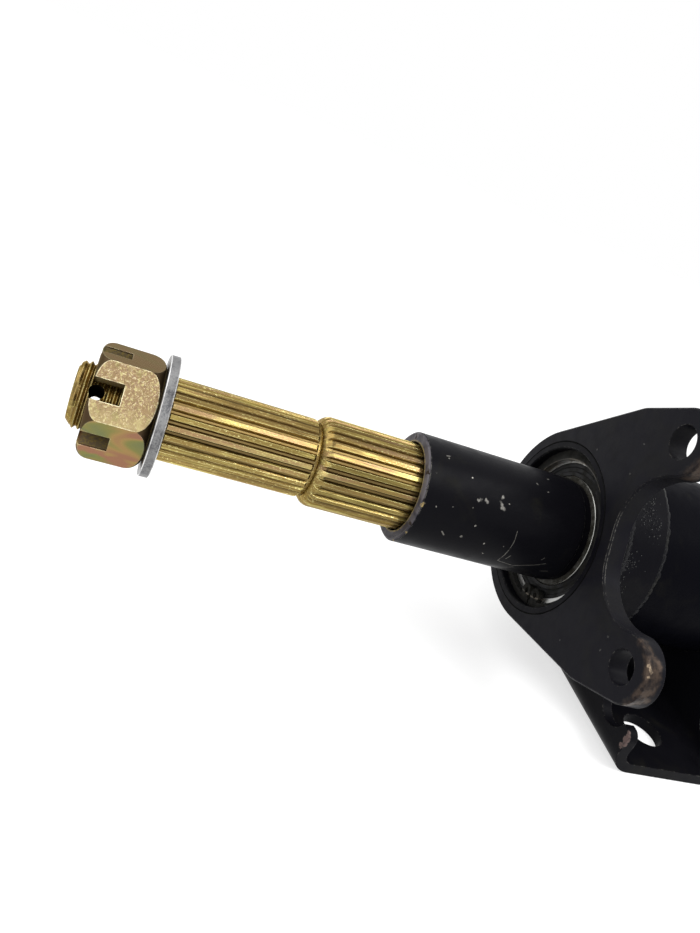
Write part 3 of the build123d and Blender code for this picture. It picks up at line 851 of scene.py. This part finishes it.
        # Painted reflection: the end face's greys are partly a painted sheen on the paint, with real stains,
        # rust and a brassy edge.
        face_paint_and_sheen = g.mix(g.between(g.noise(self.stain_scale, 5, warp=0.5), 0.4, 0.6), *self.mouth_paint_and_sheen)
        face_paint_and_sheen = g.mix(g.between(g.noise(self.rust_scale, 3, warp=1.0), 0.62, 0.68), face_paint_and_sheen, self.rust)
        edge = g.between(g.radius(), inner, inner - 0.5 * MM)
        face_paint_and_sheen = g.mix(g.times(edge, g.between(broken, 0.42, 0.55, 0.25, 0.9)), face_paint_and_sheen, self.brass)
        return g.mix(face, color, face_paint_and_sheen)


@dataclass(frozen=True)
class GroundSteel:
    """Turned or ground steel, with rings about the axle's line, under a dark coat of dust and painted shade
    except in a bare band of radii.
    """

    name: str
    color: tuple = (0.4, 0.4, 0.39, 1)
    stain: tuple = (0.16, 0.14, 0.11, 1)
    roughness: float = 0.28
    dust: tuple | None = None
    bright_from: float = 0.0
    bright_to: float = 1.0
    ring_scale: float = 4000.0
    stain_scale: float = 190.0
    dust_scale: float = 500.0

    def make(self) -> bpy.types.Material:
        """Build the material.

        Returns:
            The material.
        """
        g = Graph(bpy.data.materials.new(self.name))
        inputs = {"W": g.radius(), "Scale": self.ring_scale}
        rings = g.node("ShaderNodeTexNoise", inputs, noise_dimensions="1D").outputs["Fac"]
        stains = g.between(g.noise(self.stain_scale, 5), 0.48, 0.66)
        color = g.mix(g.times(stains, 0.7), self.color, self.stain)
        rough = g.plus(g.times(stains, 0.2), self.roughness)
        metallic: Any = 0.92
        # The dark coat is dust and painted shade: it keeps these bearing parts near black, all but a narrow
        # band of radii.
        if self.dust:
            radius = g.radius()
            bare = g.math("GREATER_THAN", radius, self.bright_from)
            bare = g.times(bare, g.math("LESS_THAN", radius, self.bright_to))
            dust_and_shade_cover = g.times(g.rest(bare), g.between(g.noise(self.dust_scale, 4), 0.25, 0.6, 0.8, 1.0))
            color = g.mix(dust_and_shade_cover, color, self.dust)
            rough = g.plus(rough, g.times(dust_and_shade_cover, 0.35))
            metallic = g.minus(0.92, g.times(dust_and_shade_cover, 0.85))
        return g.finish(
            Base_Color=color,
            Metallic=metallic,
            Roughness=rough,
            Specular_IOR_Level=0.2,
            Normal=g.bump(rings, 0.04 * MM, 0.5, 0.2 * MM),
        )


@dataclass(frozen=True)
class MouldedRubber:
    """A moulded seal, with olive dust in its dish."""

    name: str = "seal_rubber"
    black: tuple = (0.006, 0.006, 0.007, 1)
    dust: tuple = (0.016, 0.0155, 0.0125, 1)
    dust_scale: float = 210.0
    grain_scale: float = 1400.0

    def make(self) -> bpy.types.Material:
        """Build the material.

        Returns:
            The material.
        """
        g = Graph(bpy.data.materials.new(self.name))
        dust = g.between(g.noise(self.dust_scale, 5), 0.38, 0.7)
        return g.finish(
            Base_Color=g.mix(g.times(dust, 0.8), self.black, self.dust),
            Roughness=g.between(dust, 0.0, 1.0, 0.45, 0.8),
            Specular_IOR_Level=0.12,
            Normal=g.bump(g.noise(self.grain_scale, 4), 0.06 * MM, 0.5, 0.2 * MM),
        )


@dataclass(frozen=True)
class CagePlastic:
    """The moulded cage inside a bearing."""

    name: str = "cage_plastic"
    brown: tuple = (0.2, 0.13, 0.06, 1)
    tan: tuple = (0.34, 0.24, 0.13, 1)
    fibre_scale: float = 800.0

    def make(self) -> bpy.types.Material:
        """Build the material.

        Returns:
            The material.
        """
        g = Graph(bpy.data.materials.new(self.name))
        fibres = g.noise(self.fibre_scale, 5, (1, 0.2, 1))
        color = g.mix(fibres, self.brown, self.tan)
        return g.finish(Base_Color=color, Roughness=g.between(fibres, 0.3, 0.7, 0.4, 0.6))


def mesh_object(name: str, fill: Callable[[Mesh], None], smooth: bool = True) -> Piece:
    """Make an object from a function that fills its mesh.

    Args:
        name: The object's name.
        fill: Adds the vertices and faces.
        smooth: Whether its faces are shaded smooth.

    Returns:
        The object, linked to the scene.
    """
    work = bmesh.new()
    fill(work)
    bmesh.ops.recalc_face_normals(work, faces=work.faces)
    mesh = bpy.data.meshes.new(name)
    work.to_mesh(mesh)
    work.free()
    for face in mesh.polygons:
        face.use_smooth = smooth
    new = bpy.data.objects.new(name, mesh)
    bpy.context.scene.collection.objects.link(new)
    return new


def skin(work: Mesh, rings: list[list[Vector]], closed_path: bool = False) -> None:
    """Join rings of points into a tube, capped at both ends unless its path is closed.

    Args:
        work: The mesh to add to.
        rings: The rings, each with as many points.
        closed_path: Whether the last ring meets the first.
    """
    made = [[work.verts.new(point) for point in ring] for ring in rings]
    count = len(made[0])
    steps = len(made) if closed_path else len(made) - 1
    for index in range(steps):
        near, far = made[index], made[(index + 1) % len(made)]
        for side in range(count):
            after = (side + 1) % count
            work.faces.new((near[side], near[after], far[after], far[side]))
    if not closed_path:
        work.faces.new(made[0])
        work.faces.new(list(reversed(made[-1])))


def cut(item: Piece, cutter: Piece) -> Piece:
    """Cut one object's shape out of another, for good.

    Args:
        item: The object to cut.
        cutter: The shape that goes, which is removed afterwards.

    Returns:
        The cut object.
    """
    step = item.modifiers.new("cut", "BOOLEAN")
    step.operation = "DIFFERENCE"
    step.solver = "EXACT"
    step.use_self = True
    step.object = cutter
    bpy.context.view_layer.update()
    made = bpy.data.meshes.new_from_object(item.evaluated_get(bpy.context.evaluated_depsgraph_get()))
    item.modifiers.clear()
    item.data = made
    bpy.data.objects.remove(cutter, do_unlink=True)
    return item


def at(angle: float, radius: float, along: float) -> Vector:
    """A point about the axle's line.

    Args:
        angle: Radians from +X towards +Z.
        radius: The distance from the line.
        along: The place on Y.

    Returns:
        The point.
    """
    return Vector((radius * math.cos(angle), along, AXLE_HEIGHT + radius * math.sin(angle)))


def dress(item: Piece, finish: bpy.types.Material) -> None:
    """Give an object one finish in all its slots.

    Args:
        item: The object.
        finish: The material.
    """
    if not item.material_slots:
        item.data.materials.append(finish)
    for slot in item.material_slots:
        slot.material = finish


@dataclass
class Thread:
    """The thread's ridges at one end, wound on the shaft's plain root, with the cotter hole cut out."""

    end: End
    root: float = 10.88 * MM
    crest: float = 11.9 * MM
    pitch: float = 2.0 * MM
    tip: float = 310 * MM
    lead_in: float = 1.1 * MM
    length: float = 27.6 * MM
    foot_share: float = 0.94
    flat_share: float = 0.13
    bury: float = 0.3 * MM
    steps: int = 80
    fade_in: float = 0.8
    fade_out: float = 0.5
    hole_radius: float = 2.6 * MM
    hole_from_tip: float = 7.6 * MM
    hole_angle: float = 35.0

    def build(self) -> Piece:
        """Wind the ridge as one helical strip.

        Returns:
            The ridges' object.
        """
        total = int((self.length - self.lead_in) / self.pitch * self.steps)
        half_foot = self.foot_share * self.pitch / 2
        half_top = self.flat_share * self.pitch / 2
        low = self.root - self.bury

        def fill(work: Mesh) -> None:
            rings = []
            for index in range(total + 1):
                angle = 2 * math.pi * index / self.steps
                middle = self.tip - self.lead_in - self.pitch * index / self.steps
                rise = min(1.0, 0.25 + index / (self.fade_in * self.steps))
                rise *= min(1.0, 0.05 + (total - index) / (self.fade_out * self.steps))
                top = self.root + (self.crest - self.root) * rise
                outline = (
                    (-half_foot, self.root),
                    (-half_top, top),
                    (half_top, top),
                    (half_foot, self.root),
                    (half_foot, low),
                    (-half_foot, low),
                )
                side = self.end.value
                rings.append([at(angle, reach, side * (middle + shift)) for shift, reach in outline])
            skin(work, rings)

        ridges = mesh_object(f"{self.end.prefix}thread_ridges", fill, smooth=False)
        return cut(ridges, self.hole())

    def hole(self) -> Piece:
        """The cotter hole's cylinder, which cuts the ridges.

        Returns:
            The cutter.
        """
        turn = math.radians(self.hole_angle)
        line = Vector((math.cos(turn), 0, math.sin(turn)))
        middle = Vector((0, self.end.value * (self.tip - self.hole_from_tip), AXLE_HEIGHT))
        place = Matrix.Translation(middle) @ line.to_track_quat("Z", "Y").to_matrix().to_4x4()

        def fill(work: Mesh) -> None:
            bmesh.ops.create_cone(
                work,
                cap_ends=True,
                segments=32,
                radius1=self.hole_radius,
                radius2=self.hole_radius,
                depth=4 * self.crest,
                matrix=place,
            )

        return mesh_object("cotter_hole_cutter", fill, smooth=False)


@dataclass
class WeldBead:
    """A rippled bead laid in a corner between two surfaces, along an arc about the axle's line."""

    place: float
    toward: float
    foot_radius: float
    leg: float
    rise: float
    start: float = 0.0
    sweep: float = 360.0
    ripple: float = 1.9 * MM
    hollow: float = 0.24
    seed: int = 3
    size: float = 0.93
    size_spread: float = 0.14
    drift_spread: float = 0.16
    lag: float = 0.45
    taper: float = 3 * MM
    per_ripple: int = 6
    around: int = 11

    def fill(self, work: Mesh) -> None:
        """Lay the bead in a mesh.

        Args:
            work: The mesh to add to.
        """
        rng = random.Random(self.seed)
        full = self.sweep >= 360.0
        length = math.radians(self.sweep) * self.foot_radius
        ripples = max(6, round(length / self.ripple))
        total = ripples * self.per_ripple
        sizes = [self.size + self.size_spread * (rng.random() - 0.5) for _ in range(ripples + 1)]
        drifts = [self.drift_spread * (rng.random() - 0.5) for _ in range(ripples + 1)]
        rings = []
        for index in range(total if full else total + 1):
            share = index / total
            angle = math.radians(self.start + self.sweep * share)
            number, step_in = divmod(index, self.per_ripple)
            size = sizes[number] * (0.9 + 0.1 * math.sin(math.pi * step_in / self.per_ripple) ** 0.7)
            if not full:
                size *= min(1.0, 0.3 + min(share, 1 - share) * length / self.taper)
            ring = []
            for step in range(self.around):
                turn = math.pi / 2 * step / (self.around - 1)
                bulge = 1.0 - self.hollow * math.sin(2 * turn)
                tilt = 1.0 + drifts[number] * math.cos(2 * turn)
                shift = min(1.0, size * tilt) * self.leg * bulge * math.cos(turn)
                height = min(1.0, size / tilt) * self.rise * bulge * math.sin(turn)
                behind = self.lag * self.ripple / self.foot_radius * math.sin(2 * turn)
                ring.append(at(angle + behind, self.foot_radius + height, self.place + self.toward * shift))
            ring.append(at(angle, self.foot_radius - SKIN, self.place - self.toward * SKIN))
            rings.append(ring)
        skin(work, rings, full)


def lay_beads(name: str, beads: list[WeldBead]) -> Piece:
    """Lay several beads as one object.

    Args:
        name: The object's name.
        beads: The beads.

    Returns:
        The object.
    """

    def fill(work: Mesh) -> None:
        for bead in beads:
            bead.fill(work)

    return mesh_object(name, fill)


@dataclass
class Spatter:
    """Small beads of metal that the welding left beside the seams."""

    name: str
    spots: tuple[tuple[Vector, Vector], ...]
    size: float = 0.23 * MM
    squash: float = 0.62
    seed: int = 11

    def build(self) -> Piece:
        """Scatter the drops.

        Returns:
            The drops' object.
        """
        rng = random.Random(self.seed)
        flatten = Matrix.Diagonal((1.0, 1.0, self.squash, 1.0))

        def fill(work: Mesh) -> None:
            for place, normal in self.spots:
                radius = self.size * (0.5 + rng.random())
                tilt = normal.to_track_quat("Z", "Y").to_matrix().to_4x4()
                matrix = Matrix.Translation(place) @ tilt @ flatten
                bmesh.ops.create_icosphere(work, subdivisions=2, radius=radius, matrix=matrix)

        return mesh_object(self.name, fill)


def on_sleeve(angle: float, along: float) -> Vector:
    """A point on the sleeves' outer surface.

    Args:
        angle: Degrees from +X towards +Z.
        along: The place on Y in millimetres.

    Returns:
        The point.
    """
    return at(math.radians(angle), SLEEVE_RADIUS, along * MM)


def rgba(red: float, green: float, blue: float, strength: float = 1.0) -> tuple:
    """A colour, with how strongly a chip or a band of wear shows it."""
    return (red, green, blue, strength)


def on_plate(x: float, z: float) -> Vector:
    """A point on the front face of the caliper plate, from millimetres."""
    return Vector((x * MM, -MOUTH, z * MM))


@dataclass
class Axle:
    """Everything that turns: the shaft and what is clamped on it."""

    nodes: dict[str, Piece]
    tooth_depth: float = 1.2 * MM
    # The last number of each spline is its painted shade; plain_shade and thread_shade below scale the same
    # plating darker elsewhere.
    small_spline: Spline = Spline(225.2 * MM, 278.7 * MM, 15.01 * MM, 25, 0.9)
    large_spline: Spline = Spline(178.6 * MM, 224.2 * MM, 17.32 * MM, 29, 0.76, 4.2 * MM, 14.41 * MM)
    nut_tip: float = 304.4 * MM
    nut_turn: float = 35.0
    nut_flat: float = 18 * MM
    plain_shade: float = 0.8
    thread_shade: float = 0.74
    ring_bright: tuple = (23.28 * MM, 23.6 * MM)
    mouth_start: float = 183.9 * MM
    mouth_inner: float = 18.8 * MM
    chip_growth: float = 1.1

    def build(self) -> None:
        """Dress the turning pieces and add the threads."""
        splines = (self.small_spline, self.large_spline)
        gold = GoldZinc().make(splines, self.tooth_depth, self.plain_shade)
        dark_gold = GoldZinc("thread_gold_zinc", painted_glint_and_bump=0.35).make((), self.tooth_depth, self.thread_shade)
        nut = NutZinc().make(self.nut_tip, self.nut_flat, self.nut_turn)
        zinc = PlainZinc().make()
        low, high = self.ring_bright
        # The inner ring's dust is partly painted shade inside the bearing's mouth.
        steel = GroundSteel(
            "inner_ring_steel",
            color=rgba(0.33, 0.33, 0.31),
            dust=rgba(0.016, 0.0145, 0.01),
            bright_from=low,
            bright_to=high,
        ).make()
        sleeve = BlackPaint(
            "sleeve_paint",
            chips=self.sleeve_chips(),
            scratches=self.sleeve_scratches(),
            edge_wear=0.9,
            grain=900,
            roughness=(0.32, 0.42),
            dusty=(0.56, 0.8),
            specular=0.042,
            torn_scale=1100.0,
            torn_reach=0.7 * MM,
            mouth=(self.mouth_start, self.mouth_inner),
            worn_edges=((on_sleeve(30, -184.0), 14 * MM), (on_sleeve(-35, -184.0), 9 * MM)),
        ).make()
        dress(self.nodes["axle_shaft"], gold)
        dress(self.nodes["bearing_spacer_tube"], zinc)
        for end in End:
            dress(self.nodes[end.prefix + "castle_nut"], nut)
            dress(self.nodes[end.prefix + "hub_washer"], zinc)
            dress(self.nodes[end.prefix + "spacer_sleeve"], sleeve)
            dress(self.nodes[end.prefix + "bearing_inner_ring"], steel)
            thread = Thread(end).build()
            dress(thread, dark_gold)
            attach(thread, "axle")
            LOG.info("thread ridges at the %s end: %d faces", end.name.lower(), len(thread.data.polygons))

    def sleeve_chips(self) -> tuple[Chip, ...]:
        """Places where the sleeves' paint is chipped, most of them near the mouth.

        Returns:
            The chips.
        """
        dots = (
            (23, -164.1, 0.5),
            (6, -160.4, 0.5),
            (-8, -144.8, 0.4),
            (-25, -150.5, 0.4),
            (66, -176.2, 0.5),
            (46, -181.6, 0.4),
            (52, -166.2, 0.5),
            (68, -136.6, 0.5),
            (61, -132.0, 0.5),
            (36, -149.4, 0.4),
            (18, -172.0, 0.5),
            (14, -178.4, 0.5),
            (-9.4, -163.5, 0.9),
            (-10.8, -153.1, 0.7),
            (81, -130.2, 0.8),
        )
        mouth = ((12, -184.1, 1.3), (14, -183.7, 1.0), (-24, -184.1, 1.1), (-52, -184.2, 0.9))
        brassy = rgba(0.3, 0.22, 0.09)
        chips = []
        for number, (angle, along, reach) in enumerate(dots):
            bare = rgba(0.3, 0.29, 0.26, 0.4 + 0.15 * (3 * number % 5))
            chips.append(Chip(on_sleeve(angle, along), self.chip_growth * reach * MM, bare))
        for angle, along, reach in mouth:
            chips.append(Chip(on_sleeve(angle, along), reach * MM, brassy))
        return tuple(chips)

    def sleeve_scratches(self) -> tuple[Scratch, ...]:
        """Scratches in the sleeves' paint, as seen in the photograph.

        Returns:
            The scratches.
        """
        corner = ((12.1, -142.7), (4, -142.2), (-4.1, -142.0), (-17, -142.1), (-30.6, -142.3))
        after_corner = ((-30.6, -142.3), (-32.4, -134.8), (-24, -129), (-15.5, -123.6))
        lines = (
            (0.34, corner),
            (0.34, after_corner),
            (0.3, ((-53.2, -139.2), (-44, -136.6), (-35.3, -133.6))),
            (0.3, ((-24.0, -140.2), (-17.1, -139.5))),
            (0.3, ((-29.3, -122.7), (-26.3, -119.9))),
            (0.3, ((-12.0, -126.5), (-8.9, -125.8))),
            (0.6, ((-9.8, -171.7), (-13.0, -170.2))),
            (0.6, ((68.9, -177.0), (69.5, -175.9))),
        )
        made = []
        for width, line in lines:
            points = [on_sleeve(angle, along) for angle, along in line]
            made += [Scratch(start, end, width * MM) for start, end in zip(points, points[1:])]
        flecks = (
            (31.5, -162.6, 32.5, -161.4),
            (33.6, -159.6, 32.0, -158.7),
            (36.0, -153.2, 31.0, -151.6),
            (30.6, -152.4, 29.6, -150.9),
            (40.0, -152.8, 41.0, -152.4),
        )
        bare = rgba(0.27, 0.26, 0.24)
        for first, low, last, high in flecks:
            made.append(Scratch(on_sleeve(first, low), on_sleeve(last, high), 0.75 * MM, bare))
        return tuple(made)


@dataclass
class Carrier:
    """Everything that stands still: tube, collars, plate, feet and the bearings' outer parts."""

    nodes: dict[str, Piece]
    plate_back: float = 109.5 * MM
    collar_radius: float = 41 * MM
    spigot_radius: float = 36.92 * MM
    tube_radius: float = 37 * MM
    collar_back: float = 90.1 * MM
    lower_ear: tuple = (75.77, 52.6)
    upper_ear: tuple = (41.93, 123.54)
    ear_radius: float = 12.3
    worn_fork: tuple = ((38.2, 79.0, 9), (42.5, 70.0, 8), (37.0, 86.0, 6))
    foot_front: float = -86.5
    patches: tuple = ((51, -101, 5.0, 110), (40, -97.5, 4.5, 50), (18, -106, 4.5, 60), (2, -106, 4.0, 20))
    drop_ends: tuple = (-108.0, -94.5)
    drop_seed: int = 17
    saddles: tuple = (82.0 * MM, 31.5 * MM)
    caliper_legs: tuple = (3.5 * MM, 2.2 * MM)
    caliper_arc: tuple = (-38.5, 128.0)
    collar_legs: tuple = (3.4 * MM, 3.0 * MM)
    collar_ripple: float = 3.3 * MM
    saddle_arc: tuple = (-152.0, 124.0)

    def build(self) -> None:
        """Dress the standing pieces and lay the beads."""
        # The paint's base colour is set per piece, darker on the tube and the collars and lighter and bluer
        # on the plate than on the feet: painted shade and painted light on one paint.
        paint = BlackPaint(
            "carrier_paint",
            roughness=(0.4, 0.52),
            specular=0.018,
            paint=rgba(0.0022, 0.0022, 0.0038),
            dusty=(0.62, 0.85),
        ).make()
        collar = BlackPaint(
            "collar_paint",
            edge_wear=0.5,
            grain=420,
            grain_height=0.12 * MM,
            rough_spots=self.spatter(),
            specular=0.04,
            paint=rgba(0.0034, 0.0033, 0.005),
            dust=rgba(0.0072, 0.0069, 0.0078),
            seam=self.spigot_radius,
        ).make()
        plate = BlackPaint(
            "plate_paint",
            chips=self.plate_chips(),
            scratches=self.ear_wear(),
            worn_edges=tuple((on_plate(x, z), reach * MM) for x, z, reach in self.worn_fork),
            edge_wear=0.5,
            grain=260,
            grain_height=0.12 * MM,
            specular=0.055,
            paint=rgba(0.0058, 0.0056, 0.0082),
            dust=rgba(0.0088, 0.0086, 0.0094),
            seam=self.spigot_radius,
        ).make()
        foot = BlackPaint(
            "foot_paint",
            chips=self.foot_chips(),
            edge_wear=0.5,
            roughness=(0.32, 0.45),
            specular=0.042,
            dusty=(0.55, 0.8),
        ).make()
        # The near-black dust on the outer ring and the circlip is partly painted shade inside the bearing's
        # mouth.
        ring = GroundSteel("outer_ring_steel", dust=rgba(0.0075, 0.0072, 0.006)).make()
        clip = GroundSteel(
            "circlip_steel",
            color=rgba(0.05, 0.047, 0.042),
            roughness=0.42,
            dust=rgba(0.008, 0.0077, 0.0065),
            bright_from=29.9 * MM,
            bright_to=30.5 * MM,
        ).make()
        rubber = MouldedRubber().make()
        dress(self.nodes["carrier_tube"], paint)
        dress(self.nodes["caliper_plate"], plate)
        for end in End:
            dress(self.nodes[end.prefix + "bearing_collar"], collar)
            dress(self.nodes[end.prefix + "mounting_foot"], foot)
            dress(self.nodes[end.prefix + "bearing_outer_ring"], ring)
            dress(self.nodes[end.prefix + "circlip"], clip)
            dress(self.nodes[end.prefix + "bearing_outer_seal"], rubber)
            dress(self.nodes[end.prefix + "bearing_inner_seal"], rubber)
        self.beads()
        self.drops()
        LOG.info("carrier dressed")

    def beads(self) -> None:
        """Lay the rippled beads in place of the plain ones."""
        finish = BlackPaint("weld_paint", roughness=(0.26, 0.4), specular=0.09, edge_wear=0.0, grain=1500)
        weld = finish.make()
        shape = (*self.caliper_legs, *self.caliper_arc)
        caliper = WeldBead(-self.plate_back, 1, self.collar_radius, *shape, hollow=0.04, seed=5)
        collars = []
        saddles = []
        leg, rise = self.collar_legs
        for sign in (-1, 1):
            place = sign * self.collar_back
            ring = WeldBead(place, -sign, self.tube_radius, leg, rise, hollow=-0.04, seed=8 + sign)
            ring.ripple = self.collar_ripple
            collars.append(ring)
            for number, place in enumerate(self.saddles):
                seed = 20 + 3 * sign + number
                bead = WeldBead(sign * place, -sign, self.tube_radius, leg, leg, *self.saddle_arc, seed=seed)
                saddles.append(bead)
        for name, beads in (
            ("caliper_weld_bead", [caliper]),
            ("collar_weld_beads", collars),
            ("saddle_weld_beads", saddles),
        ):
            piece = lay_beads(f"rippled_{name}", beads)
            dress(piece, weld)
            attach(piece, "carrier")
            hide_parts(name)
            LOG.info("%s: %d faces", name, len(piece.data.polygons))

    def drops(self) -> None:
        """Lay spatter on the brake end's collar, in the patches where the photograph has it."""
        rng = random.Random(self.drop_seed)
        first, last = self.drop_ends
        spots = []
        for angle, along, spread, count in self.patches:
            for _ in range(count):
                turn = math.radians(rng.gauss(angle, spread))
                place = min(max(rng.gauss(along, 0.6 * spread), first), last)
                outward = Vector((math.cos(turn), 0, math.sin(turn)))
                spots.append((at(turn, self.collar_radius, place * MM), outward))
        piece = Spatter("collar_spatter", tuple(spots)).build()
        dress(piece, BlackPaint("spatter_paint", roughness=(0.2, 0.3), specular=0.4, edge_wear=0.0).make())
        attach(piece, "carrier")
        LOG.info("spatter: %d drops", len(spots))

    def spatter(self) -> tuple:
        """The places of the rough patches round the spatter.

        Returns:
            Pairs of a place and a reach.
        """
        made = []
        for angle, along, spread, _ in self.patches:
            made.append((at(math.radians(angle), self.collar_radius, along * MM), 1.1 * spread * MM))
        return tuple(made)

    def plate_chips(self) -> tuple[Chip, ...]:
        """Places on the caliper plate where the paint is worn.

        Returns:
            The chips.
        """
        pits = ((27.9, 102.4), (25.7, 114.1), (3.5, 100.0), (44.3, 36.3), (63.8, 49.2), (63.4, 55.0))
        rubbed = ((46, -117.0, 1.3), (37, -116.0, 1.1), (29, -116.7, 0.8), (41, -116.3, 0.9))
        chips = [Chip(on_plate(x, z), 0.7 * MM, rgba(0.09, 0.09, 0.085, 0.5)) for x, z in pits]
        for angle, along, reach in rubbed:
            place = self.on_ear(self.lower_ear, angle, along)
            chips.append(Chip(place, reach * MM, rgba(0.26, 0.2, 0.14, 0.55)))
        return tuple(chips)

    def on_ear(self, center: tuple, angle: float, along: float) -> Vector:
        """A point on an ear's rounded rim.

        Args:
            center: The middle of the ear's hole, in millimetres.
            angle: Degrees from +X towards +Z.
            along: The place on Y in millimetres.

        Returns:
            The point.
        """
        turn = math.radians(angle)
        x = center[0] + self.ear_radius * math.cos(turn)
        z = center[1] + self.ear_radius * math.sin(turn)
        return Vector((x, along, z)) * MM

    def ear_wear(self) -> tuple[Scratch, ...]:
        """The bronze wear round the rims of the two ears.

        Returns:
            The ragged bands.
        """
        bronze = rgba(0.085, 0.062, 0.048, 0.95)
        bands = []
        for center, angles, along, width in (
            (self.lower_ear, range(86, -35, -15), -116.2, 2.6 * MM),
            (self.lower_ear, range(50, -35, -17), -113.8, 3.0 * MM),
            (self.upper_ear, range(-44, 5, 12), -114.6, 4.2 * MM),
        ):
            points = [self.on_ear(center, angle, along) for angle in angles]
            bands += [Scratch(start, end, width, bronze) for start, end in zip(points, points[1:])]
        return tuple(bands)

    def foot_chips(self) -> tuple[Chip, ...]:
        """Places on the feet where the paint is worn.

        Returns:
            The chips.
        """
        pinkish = rgba(0.16, 0.11, 0.1, 0.7)
        spots = ((67.4, 18.4), (68.0, 17.0), (68.9, 15.8), (67.6, 15.0), (68.6, 13.4), (67.8, 12.0))
        return tuple(Chip(Vector((x, self.foot_front, z)) * MM, 2.0 * MM, pinkish) for x, z in spots)


@dataclass
class BallSets:
    """The balls and their cages, inside the bearings."""

    nodes: dict[str, Piece]

    def build(self) -> None:
        """Dress the balls and cages."""
        polished = GroundSteel("ball_steel", color=rgba(0.6, 0.6, 0.62), roughness=0.08).make()
        plastic = CagePlastic().make()
        for end in End:
            dress(self.nodes[end.prefix + "bearing_balls"], polished)
            dress(self.nodes[end.prefix + "ball_cage"], plastic)
        LOG.info("ball sets dressed")


@dataclass
class Studio:
    """A pale floor, a plain world, soft lamps and the photograph's camera."""

    floor_size: float = 14.0
    floor_drop: float = 0.2 * MM
    camera_place: Vector = field(default_factory=lambda: Vector((0.2476, -0.29795, 0.1749)))
    camera_right: Vector = field(default_factory=lambda: Vector((0.1606, 0.9126, 0.3760)))
    camera_up: Vector = field(default_factory=lambda: Vector((-0.4786, -0.2612, 0.8383)))
    lens: float = 29.09
    world_light: float = 0.45
    floor_glow: float = 0.66
    floor_color: float = 0.5
    near_floor: float = 0.5
    far_floor: float = 1.8
    lamps: tuple = (
        ("key", (-0.25, -0.75, 0.95), (0, -0.2, 0.06), 1.1, 9.0),
        ("fill", (1.1, -0.7, 0.55), (0, -0.2, 0.06), 1.2, 7.0),
        ("rim", (0.36, 0.19, 0.8), (0, -0.17, 0.06), 0.5, 4.2),
    )

    def build(self) -> None:
        """Set the camera, the world, the lamps and the floor."""
        self.camera()
        self.world()
        self.floor()
        for name, place, aim, size, power in self.lamps:
            self.lamp(name, place, aim, size, power)

    def camera(self) -> None:
        """Place the camera where the photograph was taken from."""
        data = bpy.data.cameras.new("camera")
        data.lens = self.lens
        data.clip_start = 0.01
        item = bpy.data.objects.new("camera", data)
        right = self.camera_right.normalized()
        back = right.cross(self.camera_up).normalized()
        up = back.cross(right)
        turn = Matrix((right, up, back)).transposed().to_4x4()
        item.matrix_world = Matrix.Translation(self.camera_place) @ turn
        bpy.context.scene.collection.objects.link(item)
        bpy.context.scene.camera = item

    def world(self) -> None:
        """Light the scene evenly, and show white behind it."""
        world = bpy.data.worlds.new("studio")
        bpy.context.scene.world = world
        g = Graph(world)
        strength = g.between(self.seen(g), 0.0, 1.0, self.world_light, 1.0, "LINEAR")
        light = g.node("ShaderNodeBackground", {"Color": WHITE, "Strength": strength})
        g.node("ShaderNodeOutputWorld", {0: light.outputs[0]})

    @staticmethod
    def seen(g: Graph) -> Socket:
        """Whether a ray comes from the camera, a reflection or a view through glass.

        Args:
            g: The graph to add to.

        Returns:
            A socket that is 1 for such a ray.
        """
        path = g.node("ShaderNodeLightPath").outputs
        mirrored = g.larger(path["Is Camera Ray"], path["Is Glossy Ray"])
        return g.larger(mirrored, path["Is Transmission Ray"])

    def floor(self) -> None:
        """Lay the floor under the feet."""
        half = self.floor_size / 2

        def fill(work: Mesh) -> None:
            corners = ((-half, -half), (half, -half), (half, half), (-half, half))
            work.faces.new([work.verts.new((x, y, -self.floor_drop)) for x, y in corners])

        item = mesh_object("floor", fill, smooth=False)
        material = bpy.data.materials.new("pale_floor")
        g = Graph(material)
        diffuse = g.node("ShaderNodeBsdfDiffuse", {"Color": (self.floor_color,) * 3 + (1,)})
        away = g.vector("LENGTH", g.coordinates)
        glow = g.between(away, self.near_floor, self.far_floor, self.floor_glow, 1.0, "LINEAR")
        shown = g.node("ShaderNodeEmission", {"Color": WHITE, "Strength": g.times(self.seen(g), glow)})
        both = g.node("ShaderNodeAddShader", {0: diffuse.outputs[0], 1: shown.outputs[0]})
        g.node("ShaderNodeOutputMaterial", {"Surface": both.outputs[0]})
        item.data.materials.append(material)

    @staticmethod
    def lamp(name: str, place: tuple, aim: tuple, size: float, power: float) -> None:
        """Add a square lamp.

        Args:
            name: The lamp's name.
            place: Where it hangs.
            aim: The point that it faces.
            size: The length of its side.
            power: Its power in watts.
        """
        data = bpy.data.lights.new(name, "AREA")
        data.size = size
        data.energy = power
        item = bpy.data.objects.new(name, data)
        item.location = place
        item.rotation_euler = (Vector(aim) - Vector(place)).to_track_quat("-Z", "Y").to_euler()
        bpy.context.scene.collection.objects.link(item)


def main() -> None:
    """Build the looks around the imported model."""
    logging.basicConfig(level=logging.INFO, format="%(name)s: %(message)s")
    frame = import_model()
    scene = bpy.context.scene
    scene.view_settings.view_transform = "Standard"
    nodes = frame["nodes"]
    Studio().build()
    Axle(nodes).build()
    Carrier(nodes).build()
    BallSets(nodes).build()
    LOG.info("sizes written")


if __name__ == "__main__":
    main()
